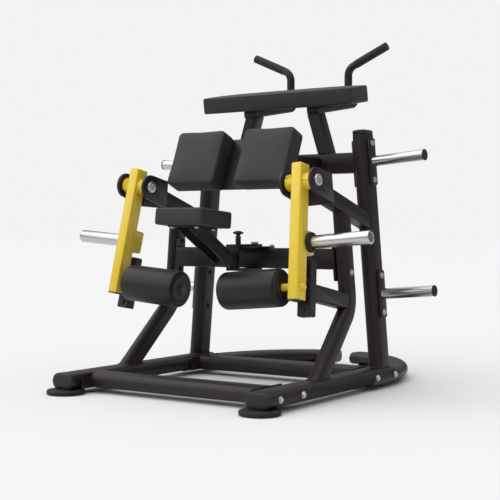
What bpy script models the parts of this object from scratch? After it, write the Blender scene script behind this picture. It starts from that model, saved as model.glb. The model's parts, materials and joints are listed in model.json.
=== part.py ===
"""Plate-loaded kneeling leg curl machine, modelled as an assembly of separate pieces.

Frame: metres, +Z up, the user faces +Y. The origin is on the floor, in the middle of the
machine's length and on its plane of symmetry. Stations along the length are measured from the
centre of the front feet, and ORIGIN_STATION says which station lies on the origin.

Each side frame is a flat weldment that leans inwards by LEAN. Its pieces are drawn in the side
frame's own plane: local X runs along the length, local Y up the frame and local Z to the right.
"""
import math

import bmesh
import bpy
from mathutils import Matrix, Vector

# ---------------------------------------------------------------- driving sizes (metres)
GAP = 0.0003                        # clearance between pieces that touch
COLLECTION = "kneeling_leg_curl_machine"

# Base: two rails that meet behind the machine as a horseshoe
RAIL_X = 0.430                      # rail centre line from the plane of symmetry
RAIL_WIDTH = 0.100
RAIL_HEIGHT = 0.060
RAIL_FRONT = -0.018                 # station of the rails' front ends
RAIL_REAR = 0.885                   # the straight tube ends under the rear upright
SHOE_START = 0.690                  # the horseshoe laps the straight tube from here on
SHOE_OUT = 0.006                    # how far it stands proud of the straight tube's side
SHOE_HEIGHT = 0.050
SHOE_DROP = 0.004                   # its underside is this much lower than the rails'
SHOE_REACH = 0.555                  # length of its elliptical sweep
RAIL_ARC_STATION = 0.800            # station where the rear halves of the horseshoe begin to curve
REAR_GAP_HALF = 0.046               # half the opening between the two rear ends
FOOT_RADIUS = 0.071
FOOT_THICKNESS = 0.0180
REAR_FOOT_X = 0.133                 # Cross members between the rails
REAR_FOOT_RADIUS = 0.063
CROSS_WIDTH = 0.100
CROSS_HEIGHT = 0.060
CROSS_STATIONS = {"front_crossmember": 0.120, "rear_crossmember": 0.790}
CROSS_FLANGE_LENGTH = 0.190
CROSS_FLANGE_HEIGHT = 0.056         # Side frames
LEAN = math.radians(4.7)            # each side frame leans inwards
FRAME_OUT = 0.0086                  # the side frame meets the floor this far outside the rail
OVAL_WIDTH = 0.100                  # flat-oval tube, along the length
OVAL_THICKNESS = 0.060              # flat-oval tube, across the machine
LEG_WIDTH = 0.080                   # flat-oval tube of the front legs
LEG_THICKNESS = 0.050
UPRIGHT_STATION = 0.831
UPRIGHT_TOP = 0.977
CAP_HEIGHT = 0.015
LEG_STATION = 0.620                 # the front leg's vertical stretch
LEG_KNEE_HEIGHT = 0.3170            # where its two straight centre lines cross
LEG_SLANT = math.radians(46.3)      # the lower stretch's angle from vertical
LEG_BEND = 0.110                    # bend radius at the centre line
BEAM_DEPTH = 0.060                  # the sloping pivot beam's depth in the frame's plane
BEAM_WIDTH = 0.048
BEAM_SLOPE = math.radians(17.6)
BEAM_STATION = 0.650                # a point on the pivot beam's centre line
BEAM_HEIGHT = 0.6855                # Swing arm pivot and its clevis
PIVOT_STATION = 0.348
PIVOT_HEIGHT = 0.7765
CLEVIS_GAP = 0.113                  # between the clevis's two cheeks
HUB_LENGTH = 0.104
CLEVIS_CHEEK = 0.010
CLEVIS_RADIUS = 0.0465
CLEVIS_WEB_STATION = 0.444          # front face of the web that joins the cheeks
CLEVIS_WEB = 0.010
CLEVIS_LOW = 0.6955
CLEVIS_HIGH = 0.8020
PIVOT_BOLT_RADIUS = 0.0100
PIVOT_HEAD_RADIUS = 0.0215
PIVOT_HEAD = 0.008

# Swing arms, drawn hanging along their own local -Y from the pivot
ARM_REST = math.radians(10.7)       # how far the hanging arm is held from vertical
ARM_WIDTH = 0.040                   # across the machine
ARM_DEPTH = 0.060                   # along it
ARM_AHEAD = 0.008                   # the arm's centre line lies ahead of the pivot
ARM_ABOVE = 0.064
ARM_BELOW = 0.4245
HUB_RADIUS = 0.030
HORN_DROP = 0.2139                  # plate horn's axis below the pivot
HORN_BEHIND = 0.045                 # plate horn's axis behind the arm's centre line
BOSS_DEPTH = 0.079                  # the horn's block reaches this far behind the centre line
BOSS_HEIGHT = 0.086
HORN_RADIUS = 0.02415
HORN_LENGTH = 0.244
STOP_DISC_RADIUS = 0.036
STOP_DISC = 0.014
AXLE_DROP = 0.3764
AXLE_RADIUS = 0.0135
ROLLER_RADIUS = 0.0685
ROLLER_BORE = 0.0142
ROLLER_START = 0.060                # from the arm's plane to the foam's outer end
ROLLER_LENGTH = 0.244
AXLE_HEAD = 0.012                   # how far the axle's round end stands out of the arm

# Arm stop: a post behind each arm with a rubber bumper, held by a brace
STOP_POST_WIDTH = 0.055
STOP_POST_DEPTH = 0.042
STOP_POST_FRONT = 0.046             # its front face behind the arm's centre line
STOP_POST_TOP = 0.2744              # below the pivot, along the arm
STOP_POST_BOTTOM = 0.4744
STOP_BRACE_DEPTH = 0.058
STOP_BRACE_WIDTH = 0.044
STOP_BRACE_DROP = 0.3844
BUMPER_RADIUS = 0.019
BUMPER_DROP = 0.3474                # Crossbeams between the side frames
MID_BEAM_HEIGHT = 0.4970
MID_BEAM_STATION = 0.610
MID_BEAM_DEPTH = 0.078
MID_BEAM_WIDTH = 0.050
MID_FLANGE_LENGTH = 0.156
UPPER_BEAM_HEIGHT = 0.8675
UPPER_BEAM_DEPTH = 0.080
UPPER_BEAM_WIDTH = 0.050
UPPER_FLANGE_LENGTH = 0.182
FLANGE_WIDTH = 0.050
FLANGE_THICKNESS = 0.008

# Storage horns on the rear uprights
STORE_HEIGHTS = {"upper": 0.8685, "lower": 0.3565}
STORE_RADIUS = 0.0205
STORE_LENGTH = 0.216
STORE_CAP_RADIUS = 0.0215
STORE_CAP_LENGTH = 0.005
STORE_PLATE_HEIGHT = 0.182
STORE_PLATE_WIDTH = 0.050

# Thigh pads
THIGH_X = 0.1575
THIGH_FACE_STATION = 0.430          # middle of the pads' front faces
THIGH_FACE_HEIGHT = 0.8880
THIGH_WIDTH = 0.226
THIGH_LENGTH = 0.230
THIGH_THICKNESS = 0.074
THIGH_LEAN = math.radians(23.1)
THIGH_PLATE_WIDTH = 0.400
THIGH_PLATE_LENGTH = 0.212
THIGH_PLATE = 0.008
THIGH_ARM = 0.050

# Forearm pad, its two supports and the handles
FOREARM_WIDTH = 0.708
FOREARM_DEPTH = 0.150
FOREARM_THICKNESS = 0.068
FOREARM_TILT = math.radians(9.5)
FOREARM_FRONT = 0.749               # station of the pad's lower front edge
FOREARM_LOW = 1.0870                # height of the pad's lower front edge
SUPPORT_TUBE = 0.056
SUPPORT_FOOT_X = 0.198
SUPPORT_LEAN = math.radians(17.4)
CARRIER_DEPTH = 0.030               # the rearward tube under the pad that carries a handle
CARRIER_FRONT = 0.792
CARRIER_REAR = 1.118
HANDLE_X = 0.142
HANDLE_STATION = 1.103
HANDLE_BEND_HEIGHT = 1.2800
HANDLE_TIP_X = 0.318
HANDLE_TIP_HEIGHT = 1.3580
HANDLE_RADIUS = 0.0165
HANDLE_BEND = 0.045

# Knee pad on its swivel arm
SWIVEL_STATION = 0.610
KNEE_YAW = math.radians(3.2)        # the pad is parked slightly to the left
KNEE_REACH = 0.372                  # from the swivel to the middle of the pad
KNEE_HEIGHT = 0.6495                # middle of the pad
KNEE_WIDTH = 0.230
KNEE_DEPTH = 0.182
KNEE_THICKNESS = 0.063
KNEE_TILT = math.radians(5.5)       # the pad's front is the higher side
KNEE_PLATE = 0.006
SWIVEL_PLATE = 0.008
SWIVEL_PLATE_WIDTH = 0.060
SWIVEL_WEB_REACH = 0.134            # from the swivel axis to the web's rear face
SWIVEL_TUBE = 0.050
SWIVEL_TUBE_END = 0.215
STRUT_THICKNESS = 0.008
STRUT_DEPTH = 0.050
STRUT_SPACING = 0.058
INDEX_RADIUS = 0.126                # the index plate's round front
INDEX_PLATE = 0.006
PIN_REACH = 0.105
PIN_RADIUS = 0.006
PIN_BARREL_RADIUS = 0.0105
PIN_BARREL = 0.036
PIN_KNOB_RADIUS = 0.021
INDEX_ANGLES = (-25.0, 0.0, 25.0)   # degrees from the parked place
SWIVEL_BOLT_RADIUS = 0.008

# ---------------------------------------------------------------- sizes worked out from those
RAIL_BOTTOM = FOOT_THICKNESS + GAP
RAIL_MID = RAIL_BOTTOM + RAIL_HEIGHT / 2
RAIL_TOP = RAIL_BOTTOM + RAIL_HEIGHT
SHOE_ACROSS = RAIL_X + SHOE_OUT
FRAME_X = RAIL_X + FRAME_OUT        # the side frame's plane meets the floor here
SHOE_END = math.acos(REAR_GAP_HALF / SHOE_ACROSS)
SHOE_END_RUN = (SHOE_REACH * math.cos(SHOE_END), SHOE_ACROSS * math.sin(SHOE_END))
SHOE_END_LEAN = SHOE_END_RUN[1] / math.hypot(*SHOE_END_RUN)
REAR_END_STATION = (RAIL_ARC_STATION + SHOE_REACH * math.sin(SHOE_END)
                    + RAIL_WIDTH / 2 * SHOE_END_LEAN)
ORIGIN_STATION = (REAR_END_STATION - FOOT_RADIUS) / 2
SIDES = {"right": 1, "left": -1}

STEEL_BLACK = ("black_paint", (0.022, 0.020, 0.022), 0.38, 0.0)
PAINT_YELLOW = ("yellow_paint", (0.78, 0.60, 0.06), 0.35, 0.0)
CHROME = ("chrome", (0.80, 0.80, 0.81), 0.12, 1.0)
ZINC = ("zinc_bolt", (0.62, 0.62, 0.64), 0.30, 1.0)
LEATHER = ("black_upholstery", (0.045, 0.045, 0.047), 0.55, 0.0)
FOAM = ("black_foam", (0.028, 0.028, 0.028), 0.50, 0.0)
RUBBER = ("black_rubber", (0.018, 0.018, 0.019), 0.70, 0.0)
PLASTIC = ("black_plastic", (0.020, 0.020, 0.021), 0.45, 0.0)


# ---------------------------------------------------------------- scene helpers
def clear_scene():
    """Remove every object that the file opens with."""
    for obj in list(bpy.data.objects):
        bpy.data.objects.remove(obj, do_unlink=True)


def make_collection(name):
    """Return a new collection linked to the scene."""
    made = bpy.data.collections.new(name)
    bpy.context.scene.collection.children.link(made)
    return made


def material_for(node, finish):
    """Give a node its own Principled material from a finish."""
    name, colour, roughness, metallic = finish
    made = bpy.data.materials.new(f"{node}_{name}")
    made.use_nodes = True
    shader = made.node_tree.nodes["Principled BSDF"]
    shader.inputs["Base Color"].default_value = (*colour, 1.0)
    shader.inputs["Roughness"].default_value = roughness
    shader.inputs["Metallic"].default_value = metallic
    return made


def station(value):
    """World Y of a station along the machine's length."""
    return value - ORIGIN_STATION


def matrix_from_axes(origin, x_axis, y_axis, z_axis):
    """A rigid transform from its origin and three unit axes."""
    turn = Matrix((x_axis, y_axis, z_axis)).transposed().to_4x4()
    return Matrix.Translation(origin) @ turn


def side_matrix(side):
    """The side frame's plane: X along the machine, Y up the frame, Z to the right."""
    up = Vector((-side * math.sin(LEAN), 0.0, math.cos(LEAN)))
    along = Vector((0.0, 1.0, 0.0))
    origin = Vector((side * FRAME_X, station(0.0), 0.0))
    return matrix_from_axes(origin, along, up, along.cross(up))


def in_frame(height):
    """Distance up the leaning side frame that reaches a height above the floor."""
    return height / math.cos(LEAN)


def arm_matrix(side):
    """The hanging swing arm: origin on its pivot axis, local -Y down the arm."""
    place = Matrix.Translation((PIVOT_STATION, in_frame(PIVOT_HEIGHT), 0.0))
    return side_matrix(side) @ place @ Matrix.Rotation(-ARM_REST, 4, "Z")


def swivel_matrix():
    """The knee pad's swivel: origin on its axis at mid beam, local -Y towards the pad."""
    origin = Matrix.Translation((0.0, station(SWIVEL_STATION), MID_BEAM_HEIGHT))
    return origin @ Matrix.Rotation(-KNEE_YAW, 4, "Z")


def empty(name, matrix):
    """A plain axes empty that carries the pieces of one frame or one moving body."""
    made = bpy.data.objects.new(name, None)
    made.empty_display_size = 0.05
    made.matrix_world = matrix
    parts.objects.link(made)
    bpy.context.view_layer.update()
    return made


# ---------------------------------------------------------------- outlines and paths
def arc(centre, radius, start, end, steps):
    """Points on an arc from one angle to another, both ends included."""
    sweep = [start + (end - start) * step / steps for step in range(steps + 1)]
    return [(centre[0] + radius * math.cos(a), centre[1] + radius * math.sin(a)) for a in sweep]


def rounded_outline(width, height, radius, steps=5):
    """A rectangle with round corners about the origin, counter-clockwise."""
    across = width / 2 - radius
    up = height / 2 - radius
    corners = [((across, up), 0.0), ((-across, up), 0.5), ((-across, -up), 1.0), ((across, -up), 1.5)]
    points = []
    for centre, quarter in corners:
        start = quarter * math.pi
        points += arc(centre, radius, start, start + math.pi / 2, steps)
    return without_repeats(points)


def without_repeats(points):
    """Drop points that lie on the one before them, and a last one that closes the loop."""
    kept = []
    for point in points:
        if not kept or math.dist(point, kept[-1]) > 1e-6:
            kept.append(point)
    if math.dist(kept[0], kept[-1]) < 1e-6:
        kept.pop()
    return kept


def bent_path(points, radius, steps=8):
    """A polyline whose inner corners are rounded with arcs of one radius."""
    path = [points[0]]
    for before, corner, after in zip(points, points[1:], points[2:]):
        into = (Vector(corner) - Vector(before)).normalized()
        out = (Vector(after) - Vector(corner)).normalized()
        turn = into.angle_signed(out)
        reach = radius * math.tan(abs(turn) / 2)
        start = Vector(corner) - into * reach
        sideways = Vector((into.y, -into.x)) if turn > 0 else Vector((-into.y, into.x))
        centre = start + sideways * radius
        first = math.atan2(start.y - centre.y, start.x - centre.x)
        path += arc(centre, radius, first, first - turn, steps)
    path.append(points[-1])
    return [tuple(point) for point in path]


# ---------------------------------------------------------------- solids
def tidy_mesh(mesh):
    """Weld a mesh's doubles and turn its faces outwards."""
    work = bmesh.new()
    work.from_mesh(mesh)
    bmesh.ops.remove_doubles(work, verts=work.verts, dist=1e-5)
    bmesh.ops.dissolve_degenerate(work, edges=work.edges, dist=1e-6)
    bmesh.ops.recalc_face_normals(work, faces=work.faces)
    work.to_mesh(mesh)
    work.free()
    return mesh


def mesh_of(obj, name):
    """The evaluated shape of an object as a plain, welded mesh."""
    graph = bpy.context.evaluated_depsgraph_get()
    made = bpy.data.meshes.new_from_object(obj.evaluated_get(graph), depsgraph=graph)
    made.name = name
    return tidy_mesh(made)


def solid(name, mesh):
    """A working object for a mesh, not yet one of the parts."""
    made = bpy.data.objects.new(name, mesh)
    bench.objects.link(made)
    return made


def discard(obj):
    """Remove a working object and its data."""
    data = obj.data
    bpy.data.objects.remove(obj, do_unlink=True)
    if isinstance(data, bpy.types.Curve):
        bpy.data.curves.remove(data)


def poly_curve(name, points, cyclic=False, dimensions="3D"):
    """A curve object with one polyline through the points."""
    data = bpy.data.curves.new(name, "CURVE")
    data.dimensions = dimensions
    spline = data.splines.new("POLY")
    spline.points.add(len(points) - 1)
    for target, point in zip(spline.points, points):
        target.co = (*point, 0.0, 1.0) if len(point) == 2 else (*point, 1.0)
    spline.use_cyclic_u = cyclic
    made = bpy.data.objects.new(name, data)
    bench.objects.link(made)
    return made


def swept(name, path, outline):
    """A solid bar of one section along a path in the local XY plane.

    The outline's X lies across the path in that plane and its Y along local Z.
    """
    section = poly_curve(f"{name}_section", outline, cyclic=True, dimensions="2D")
    guide = poly_curve(f"{name}_path", path)
    guide.data.twist_mode = "Z_UP"
    guide.data.bevel_mode = "OBJECT"
    guide.data.bevel_object = section
    guide.data.use_fill_caps = True
    mesh = mesh_of(guide, name)
    discard(guide)
    discard(section)
    return solid(name, mesh)


def round_bar(name, path, radius, resolution=3):
    """A round solid bar along a path, with filled ends."""
    guide = poly_curve(f"{name}_path", path)
    guide.data.bevel_depth = radius
    guide.data.bevel_resolution = resolution
    guide.data.use_fill_caps = True
    mesh = mesh_of(guide, name)
    discard(guide)
    return solid(name, mesh)


def plate(name, outline, thickness, round_over=0.0):
    """A flat plate: a closed outline in local XY, centred on local Z = 0.

    A round-over swells the rim outwards from the outline by its own radius.
    """
    guide = poly_curve(f"{name}_outline", outline, cyclic=True, dimensions="2D")
    guide.data.fill_mode = "BOTH"
    guide.data.extrude = thickness / 2 - round_over
    guide.data.bevel_depth = round_over
    guide.data.bevel_resolution = 1
    mesh = mesh_of(guide, name)
    discard(guide)
    return solid(name, mesh)


def box(name, size, bevel=0.0, segments=2):
    """A box about the origin, its edges rounded when a bevel is given."""
    work = bmesh.new()
    bmesh.ops.create_cube(work, size=1.0)
    bmesh.ops.scale(work, vec=size, verts=work.verts)
    if bevel:
        bmesh.ops.bevel(work, geom=work.edges, offset=bevel, segments=segments, affect="EDGES",
                        profile=0.5)
    mesh = bpy.data.meshes.new(name)
    work.to_mesh(mesh)
    work.free()
    return solid(name, mesh)


def cylinder(name, radius, length, segments=32, bevel=0.0):
    """A cylinder about the origin along local Z, its rims rounded when a bevel is given."""
    work = bmesh.new()
    bmesh.ops.create_cone(work, cap_ends=True, segments=segments, radius1=radius, radius2=radius,
                          depth=length)
    if bevel:
        rims = [edge for edge in work.edges if abs(edge.verts[0].co.z - edge.verts[1].co.z) < 1e-7]
        bmesh.ops.bevel(work, geom=rims, offset=bevel, segments=2, affect="EDGES", profile=0.5)
    mesh = bpy.data.meshes.new(name)
    work.to_mesh(mesh)
    work.free()
    return solid(name, mesh)


def place(obj, matrix):
    """Move a working object's mesh by a transform."""
    obj.data.transform(matrix)
    return obj


def moved(obj, x, y, z):
    """Move a working object's mesh by an offset."""
    return place(obj, Matrix.Translation((x, y, z)))


def boolean(obj, other, operation):
    """Apply one exact Boolean and use up the other solid."""
    step = obj.modifiers.new(operation.lower(), "BOOLEAN")
    step.operation = operation
    step.solver = "EXACT"
    step.object = other
    bpy.context.view_layer.update()
    mesh = mesh_of(obj, obj.data.name)
    obj.modifiers.clear()
    obj.data = mesh
    discard(other)
    return obj


def joined(obj, *others):
    """The union of several solids."""
    for other in others:
        boolean(obj, other, "UNION")
    return obj


def cut(obj, *others):
    """A solid with other solids taken away."""
    for other in others:
        boolean(obj, other, "DIFFERENCE")
    return obj


def trimmed(obj, point, normal):
    """Cut a solid with a plane and keep the side behind its normal."""
    work = bmesh.new()
    work.from_mesh(obj.data)
    geometry = work.verts[:] + work.edges[:] + work.faces[:]
    sliced = bmesh.ops.bisect_plane(work, geom=geometry, plane_co=point, plane_no=normal,
                                    clear_outer=True, dist=1e-6)
    rim = [item for item in sliced["geom_cut"] if isinstance(item, bmesh.types.BMEdge)]
    bmesh.ops.edgeloop_fill(work, edges=rim)
    work.to_mesh(obj.data)
    work.free()
    tidy_mesh(obj.data)
    return obj


def finish_part(obj, name, finish, parent=None):
    """Turn a working solid into a named part with its own material."""
    obj.name = name
    obj.data.name = name
    obj.data.materials.clear()
    obj.data.materials.append(material_for(name, finish))
    obj.data.shade_smooth()
    obj.data.set_sharp_from_angle(angle=math.radians(35))
    bench.objects.unlink(obj)
    parts.objects.link(obj)
    if parent is not None:
        obj.parent = parent
    return obj


# ---------------------------------------------------------------- base
def oval(width, thickness, extra=0.0):
    """A flat-oval tube section: straight flats and half-round edges."""
    radius = thickness / 2 + extra
    return rounded_outline(width + 2 * extra, thickness + 2 * extra, radius - 1e-5, steps=6)


def shoe_path(side):
    """Centre line of one half of the horseshoe: straight, then a quarter of an ellipse."""
    start = station(RAIL_ARC_STATION)
    sweep = [SHOE_END * step / 20 for step in range(21)]
    curve = [(SHOE_ACROSS * math.cos(a), start + SHOE_REACH * math.sin(a)) for a in sweep]
    return [(side * x, y) for x, y in [(SHOE_ACROSS, station(SHOE_START))] + curve]


def shoe_solid(name, side, extra=0.0):
    """One half of the horseshoe, larger all round when it is a cutter."""
    shoe = swept(name, shoe_path(side), oval(RAIL_WIDTH, SHOE_HEIGHT, extra))
    return moved(shoe, 0.0, 0.0, RAIL_BOTTOM - SHOE_DROP + SHOE_HEIGHT / 2)


def build_rail(name, side):
    """One side of the base: a straight tube and the half horseshoe welded over its rear end."""
    path = [(side * RAIL_X, station(RAIL_FRONT)), (side * RAIL_X, station(RAIL_REAR))]
    rail = swept(name, path, oval(RAIL_WIDTH, RAIL_HEIGHT))
    moved(rail, 0.0, 0.0, RAIL_MID)
    return finish_part(joined(rail, shoe_solid("shoe", side)), name, STEEL_BLACK)


def build_foot(name, x, y, radius, thickness):
    """A thick rubber disc with round rims under a rail."""
    foot = cylinder(name, radius, thickness, segments=40, bevel=0.005)
    moved(foot, x, y, thickness / 2)
    return finish_part(foot, name, RUBBER)


def build_crossmember(name, where):
    """A flat-oval tube between the rails with a bolting flange welded on each end."""
    inner = RAIL_X - RAIL_WIDTH / 2 - GAP
    reach = inner - FLANGE_THICKNESS / 2
    tube = swept(name, [(-reach, 0.0), (reach, 0.0)], oval(CROSS_WIDTH, CROSS_HEIGHT))
    flanges = []
    for side in SIDES.values():
        flange = box("flange", (FLANGE_THICKNESS, CROSS_FLANGE_LENGTH, CROSS_FLANGE_HEIGHT))
        flanges.append(moved(flange, side * (inner - FLANGE_THICKNESS / 2), 0.0, 0.0))
    joined(tube, *flanges)
    moved(tube, 0.0, station(where), RAIL_MID)
    cut(tube, *[shoe_solid("sweep", side, GAP) for side in SIDES.values()])
    return finish_part(tube, name, STEEL_BLACK)


# ---------------------------------------------------------------- side frames
def world_trim(obj, matrix, point, normal):
    """Trim a solid drawn in a frame by a plane given in world coordinates."""
    local = matrix.inverted()
    return trimmed(obj, local @ Vector(point), local.to_3x3() @ Vector(normal))


def beam_line(where):
    """Height in the frame of the pivot beam's centre line at a station."""
    return in_frame(BEAM_HEIGHT) - math.tan(BEAM_SLOPE) * (where - BEAM_STATION)


def upright_solid(name, extra=0.0):
    """The rear upright's tube in its side frame, larger all round when it is a cutter."""
    path = [(UPRIGHT_STATION, 0.02), (UPRIGHT_STATION, in_frame(UPRIGHT_TOP))]
    return swept(name, path, oval(OVAL_WIDTH, OVAL_THICKNESS, extra))


def build_upright(name, frame, matrix):
    """Rear upright: a flat-oval tube that stands on the rail."""
    tube = upright_solid(name)
    world_trim(tube, matrix, (0.0, 0.0, RAIL_TOP + GAP), (0.0, 0.0, -1.0))
    return finish_part(tube, name, STEEL_BLACK, frame)


def build_upright_cap(name, frame):
    """Plastic cap with a rounded rim on the upright's top."""
    round_over = 0.005
    outline = oval(OVAL_WIDTH, OVAL_THICKNESS, -round_over)
    cap = plate(name, outline, CAP_HEIGHT, round_over)
    place(cap, Matrix.Rotation(-math.pi / 2, 4, "X"))
    moved(cap, UPRIGHT_STATION, in_frame(UPRIGHT_TOP) + GAP + CAP_HEIGHT / 2, 0.0)
    return finish_part(cap, name, PLASTIC, frame)


def leg_solid(name, extra=0.0):
    """The front leg's bent tube in its side frame."""
    knee = (LEG_STATION, in_frame(LEG_KNEE_HEIGHT))
    top = (LEG_STATION, beam_line(LEG_STATION))
    reach = knee[1] - 0.02
    foot = (knee[0] - reach * math.tan(LEG_SLANT), 0.02)
    path = bent_path([top, knee, foot], LEG_BEND)
    return swept(name, path, oval(LEG_WIDTH, LEG_THICKNESS, extra))


def build_front_leg(name, frame, matrix):
    """Front leg: rises from the rail on a slant, bends upright and meets the pivot beam."""
    tube = leg_solid(name)
    world_trim(tube, matrix, (0.0, 0.0, RAIL_TOP + GAP), (0.0, 0.0, -1.0))
    below = Vector((math.sin(BEAM_SLOPE), math.cos(BEAM_SLOPE), 0.0))
    under_beam = Vector((LEG_STATION, beam_line(LEG_STATION), 0.0)) - below * (BEAM_DEPTH / 2 + GAP)
    trimmed(tube, under_beam, below)
    return finish_part(tube, name, STEEL_BLACK, frame)


def build_pivot_beam(name, frame):
    """The sloping tube from the rear upright to the back of the clevis."""
    start = CLEVIS_WEB_STATION - 0.02
    path = [(start, beam_line(start)), (UPRIGHT_STATION, beam_line(UPRIGHT_STATION))]
    tube = swept(name, path, rounded_outline(BEAM_DEPTH, BEAM_WIDTH, 0.004, steps=2))
    trimmed(tube, (CLEVIS_WEB_STATION + CLEVIS_WEB + GAP, 0.0, 0.0), (-1.0, 0.0, 0.0))
    cut(tube, upright_solid("upright_cutter", GAP))
    return finish_part(tube, name, STEEL_BLACK, frame)


def cheek_outline():
    """Side of the clevis: round about the pivot, straight-backed at the web."""
    pivot = (PIVOT_STATION, in_frame(PIVOT_HEIGHT))
    back = CLEVIS_WEB_STATION + CLEVIS_WEB
    high = (back, in_frame(CLEVIS_HIGH))
    low = (back, in_frame(CLEVIS_LOW))
    angles = []
    for corner, turn in ((high, 1.0), (low, -1.0)):
        span = Vector((corner[0] - pivot[0], corner[1] - pivot[1]))
        lean = math.acos(CLEVIS_RADIUS / span.length)
        angles.append(math.atan2(span.y, span.x) + turn * lean)
    round_end = arc(pivot, CLEVIS_RADIUS, angles[0], angles[1] + 2 * math.pi, 16)
    return [high] + round_end + [low]


def build_clevis(name, frame):
    """Fork that holds the arm's hub: two cheeks joined by a web behind the arm."""
    offset = CLEVIS_GAP / 2 + CLEVIS_CHEEK / 2
    cheeks = [moved(plate("cheek", cheek_outline(), CLEVIS_CHEEK), 0.0, 0.0, end * offset)
              for end in (-1, 1)]
    low, high = in_frame(CLEVIS_LOW), in_frame(CLEVIS_HIGH)
    web = box(name, (CLEVIS_WEB, high - low, CLEVIS_GAP + CLEVIS_CHEEK))
    moved(web, CLEVIS_WEB_STATION + CLEVIS_WEB / 2, (low + high) / 2, 0.0)
    joined(web, *cheeks)
    bore = cylinder("bore", PIVOT_BOLT_RADIUS + GAP, 0.2)
    cut(web, moved(bore, PIVOT_STATION, in_frame(PIVOT_HEIGHT), 0.0))
    return finish_part(web, name, STEEL_BLACK, frame)


def build_arm_stop(name, frame, matrix):
    """Stop post behind the arm's lower end, with the brace that ties it to the front leg."""
    height = STOP_POST_BOTTOM - STOP_POST_TOP
    post = box(name, (STOP_POST_DEPTH, height, STOP_POST_WIDTH), bevel=0.004, segments=1)
    post_x = STOP_POST_FRONT + STOP_POST_DEPTH / 2 - ARM_AHEAD
    moved(post, post_x, -(STOP_POST_TOP + STOP_POST_BOTTOM) / 2, 0.0)
    reach = 0.32
    brace = box("brace", (reach, STOP_BRACE_DEPTH, STOP_BRACE_WIDTH), bevel=0.004, segments=1)
    moved(brace, post_x + reach / 2, -STOP_BRACE_DROP, 0.0)
    joined(post, brace)
    arm_in_frame = matrix.inverted() @ arm_matrix(SIDES["right" if "right" in name else "left"])
    place(post, arm_in_frame)
    trimmed(post, (LEG_STATION, 0.0, 0.0), (1.0, 0.0, 0.0))
    cut(post, leg_solid("leg_cutter", GAP))
    keep_largest(post)
    return finish_part(post, name, STEEL_BLACK, frame)


def keep_largest(obj):
    """Drop slivers that a cut leaves beside the main body."""
    work = bmesh.new()
    work.from_mesh(obj.data)
    islands = []
    unseen = set(work.verts)
    while unseen:
        island = set()
        front = [unseen.pop()]
        while front:
            vert = front.pop()
            island.add(vert)
            near = {edge.other_vert(vert) for edge in vert.link_edges} & unseen
            unseen -= near
            front += near
        islands.append(island)
    islands.sort(key=len)
    small = [vert for island in islands[:-1] for vert in island]
    bmesh.ops.delete(work, geom=small, context="VERTS")
    work.to_mesh(obj.data)
    work.free()
    return obj


def build_bumper(name, frame, matrix, side):
    """Rubber bumper on the stop post, against the back of the arm."""
    length = STOP_POST_FRONT - ARM_DEPTH / 2 - 2 * GAP
    bumper = cylinder(name, BUMPER_RADIUS, length, segments=24, bevel=0.002)
    place(bumper, Matrix.Rotation(math.pi / 2, 4, "Y"))
    moved(bumper, ARM_DEPTH / 2 - ARM_AHEAD + GAP + length / 2, -BUMPER_DROP, 0.0)
    place(bumper, matrix.inverted() @ arm_matrix(side))
    return finish_part(bumper, name, RUBBER, frame)


def build_side_frame(label, side):
    """Everything that is welded or fixed in one side frame's plane."""
    matrix = side_matrix(side)
    frame = empty(f"side_frame_{label}", matrix)
    build_upright(f"rear_upright_{label}", frame, matrix)
    build_upright_cap(f"upright_cap_{label}", frame)
    build_front_leg(f"front_leg_{label}", frame, matrix)
    build_pivot_beam(f"pivot_beam_{label}", frame)
    build_clevis(f"pivot_clevis_{label}", frame)
    build_arm_stop(f"arm_stop_{label}", frame, matrix)
    build_bumper(f"arm_bumper_{label}", frame, matrix, side)
    for level, height in STORE_HEIGHTS.items():
        build_storage_plate(f"storage_plate_{level}_{label}", frame, side, height)
        build_storage_horn(f"storage_horn_{level}_{label}", frame, side, height)
        build_storage_cap(f"storage_cap_{level}_{label}", frame, side, height)


def outward(side, distance):
    """Local Z of a point that lies a distance outwards from the side frame's plane."""
    return side * distance


def build_storage_plate(name, frame, side, height):
    """Mounting plate of a storage horn, bolted to the upright's outer face."""
    face = OVAL_THICKNESS / 2 + GAP
    back = plate(name, rounded_outline(STORE_PLATE_WIDTH, STORE_PLATE_HEIGHT, 0.008, steps=3),
                 FLANGE_THICKNESS)
    place_z = outward(side, face + FLANGE_THICKNESS / 2)
    moved(back, UPRIGHT_STATION, in_frame(height), place_z)
    return finish_part(back, name, STEEL_BLACK, frame)


def build_storage_horn(name, frame, side, height):
    """Plate storage horn: a chromed bar standing on its mounting plate."""
    start = store_start()
    bar = cylinder(name, STORE_RADIUS, STORE_LENGTH, segments=28)
    moved(bar, UPRIGHT_STATION, in_frame(height), outward(side, start + STORE_LENGTH / 2))
    return finish_part(bar, name, CHROME, frame)


def store_start():
    """Distance from the side frame's plane to a storage horn's inner end."""
    return OVAL_THICKNESS / 2 + FLANGE_THICKNESS + 2 * GAP


def build_storage_cap(name, frame, side, height):
    """Plug with a small rim on the outer end of a storage horn."""
    tip = store_start() + STORE_LENGTH + GAP
    plug = cylinder(name, STORE_CAP_RADIUS, STORE_CAP_LENGTH, segments=28, bevel=0.0015)
    lift = in_frame(height)
    moved(plug, UPRIGHT_STATION, lift, outward(side, tip + STORE_CAP_LENGTH / 2))
    return finish_part(plug, name, RUBBER, frame)


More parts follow.
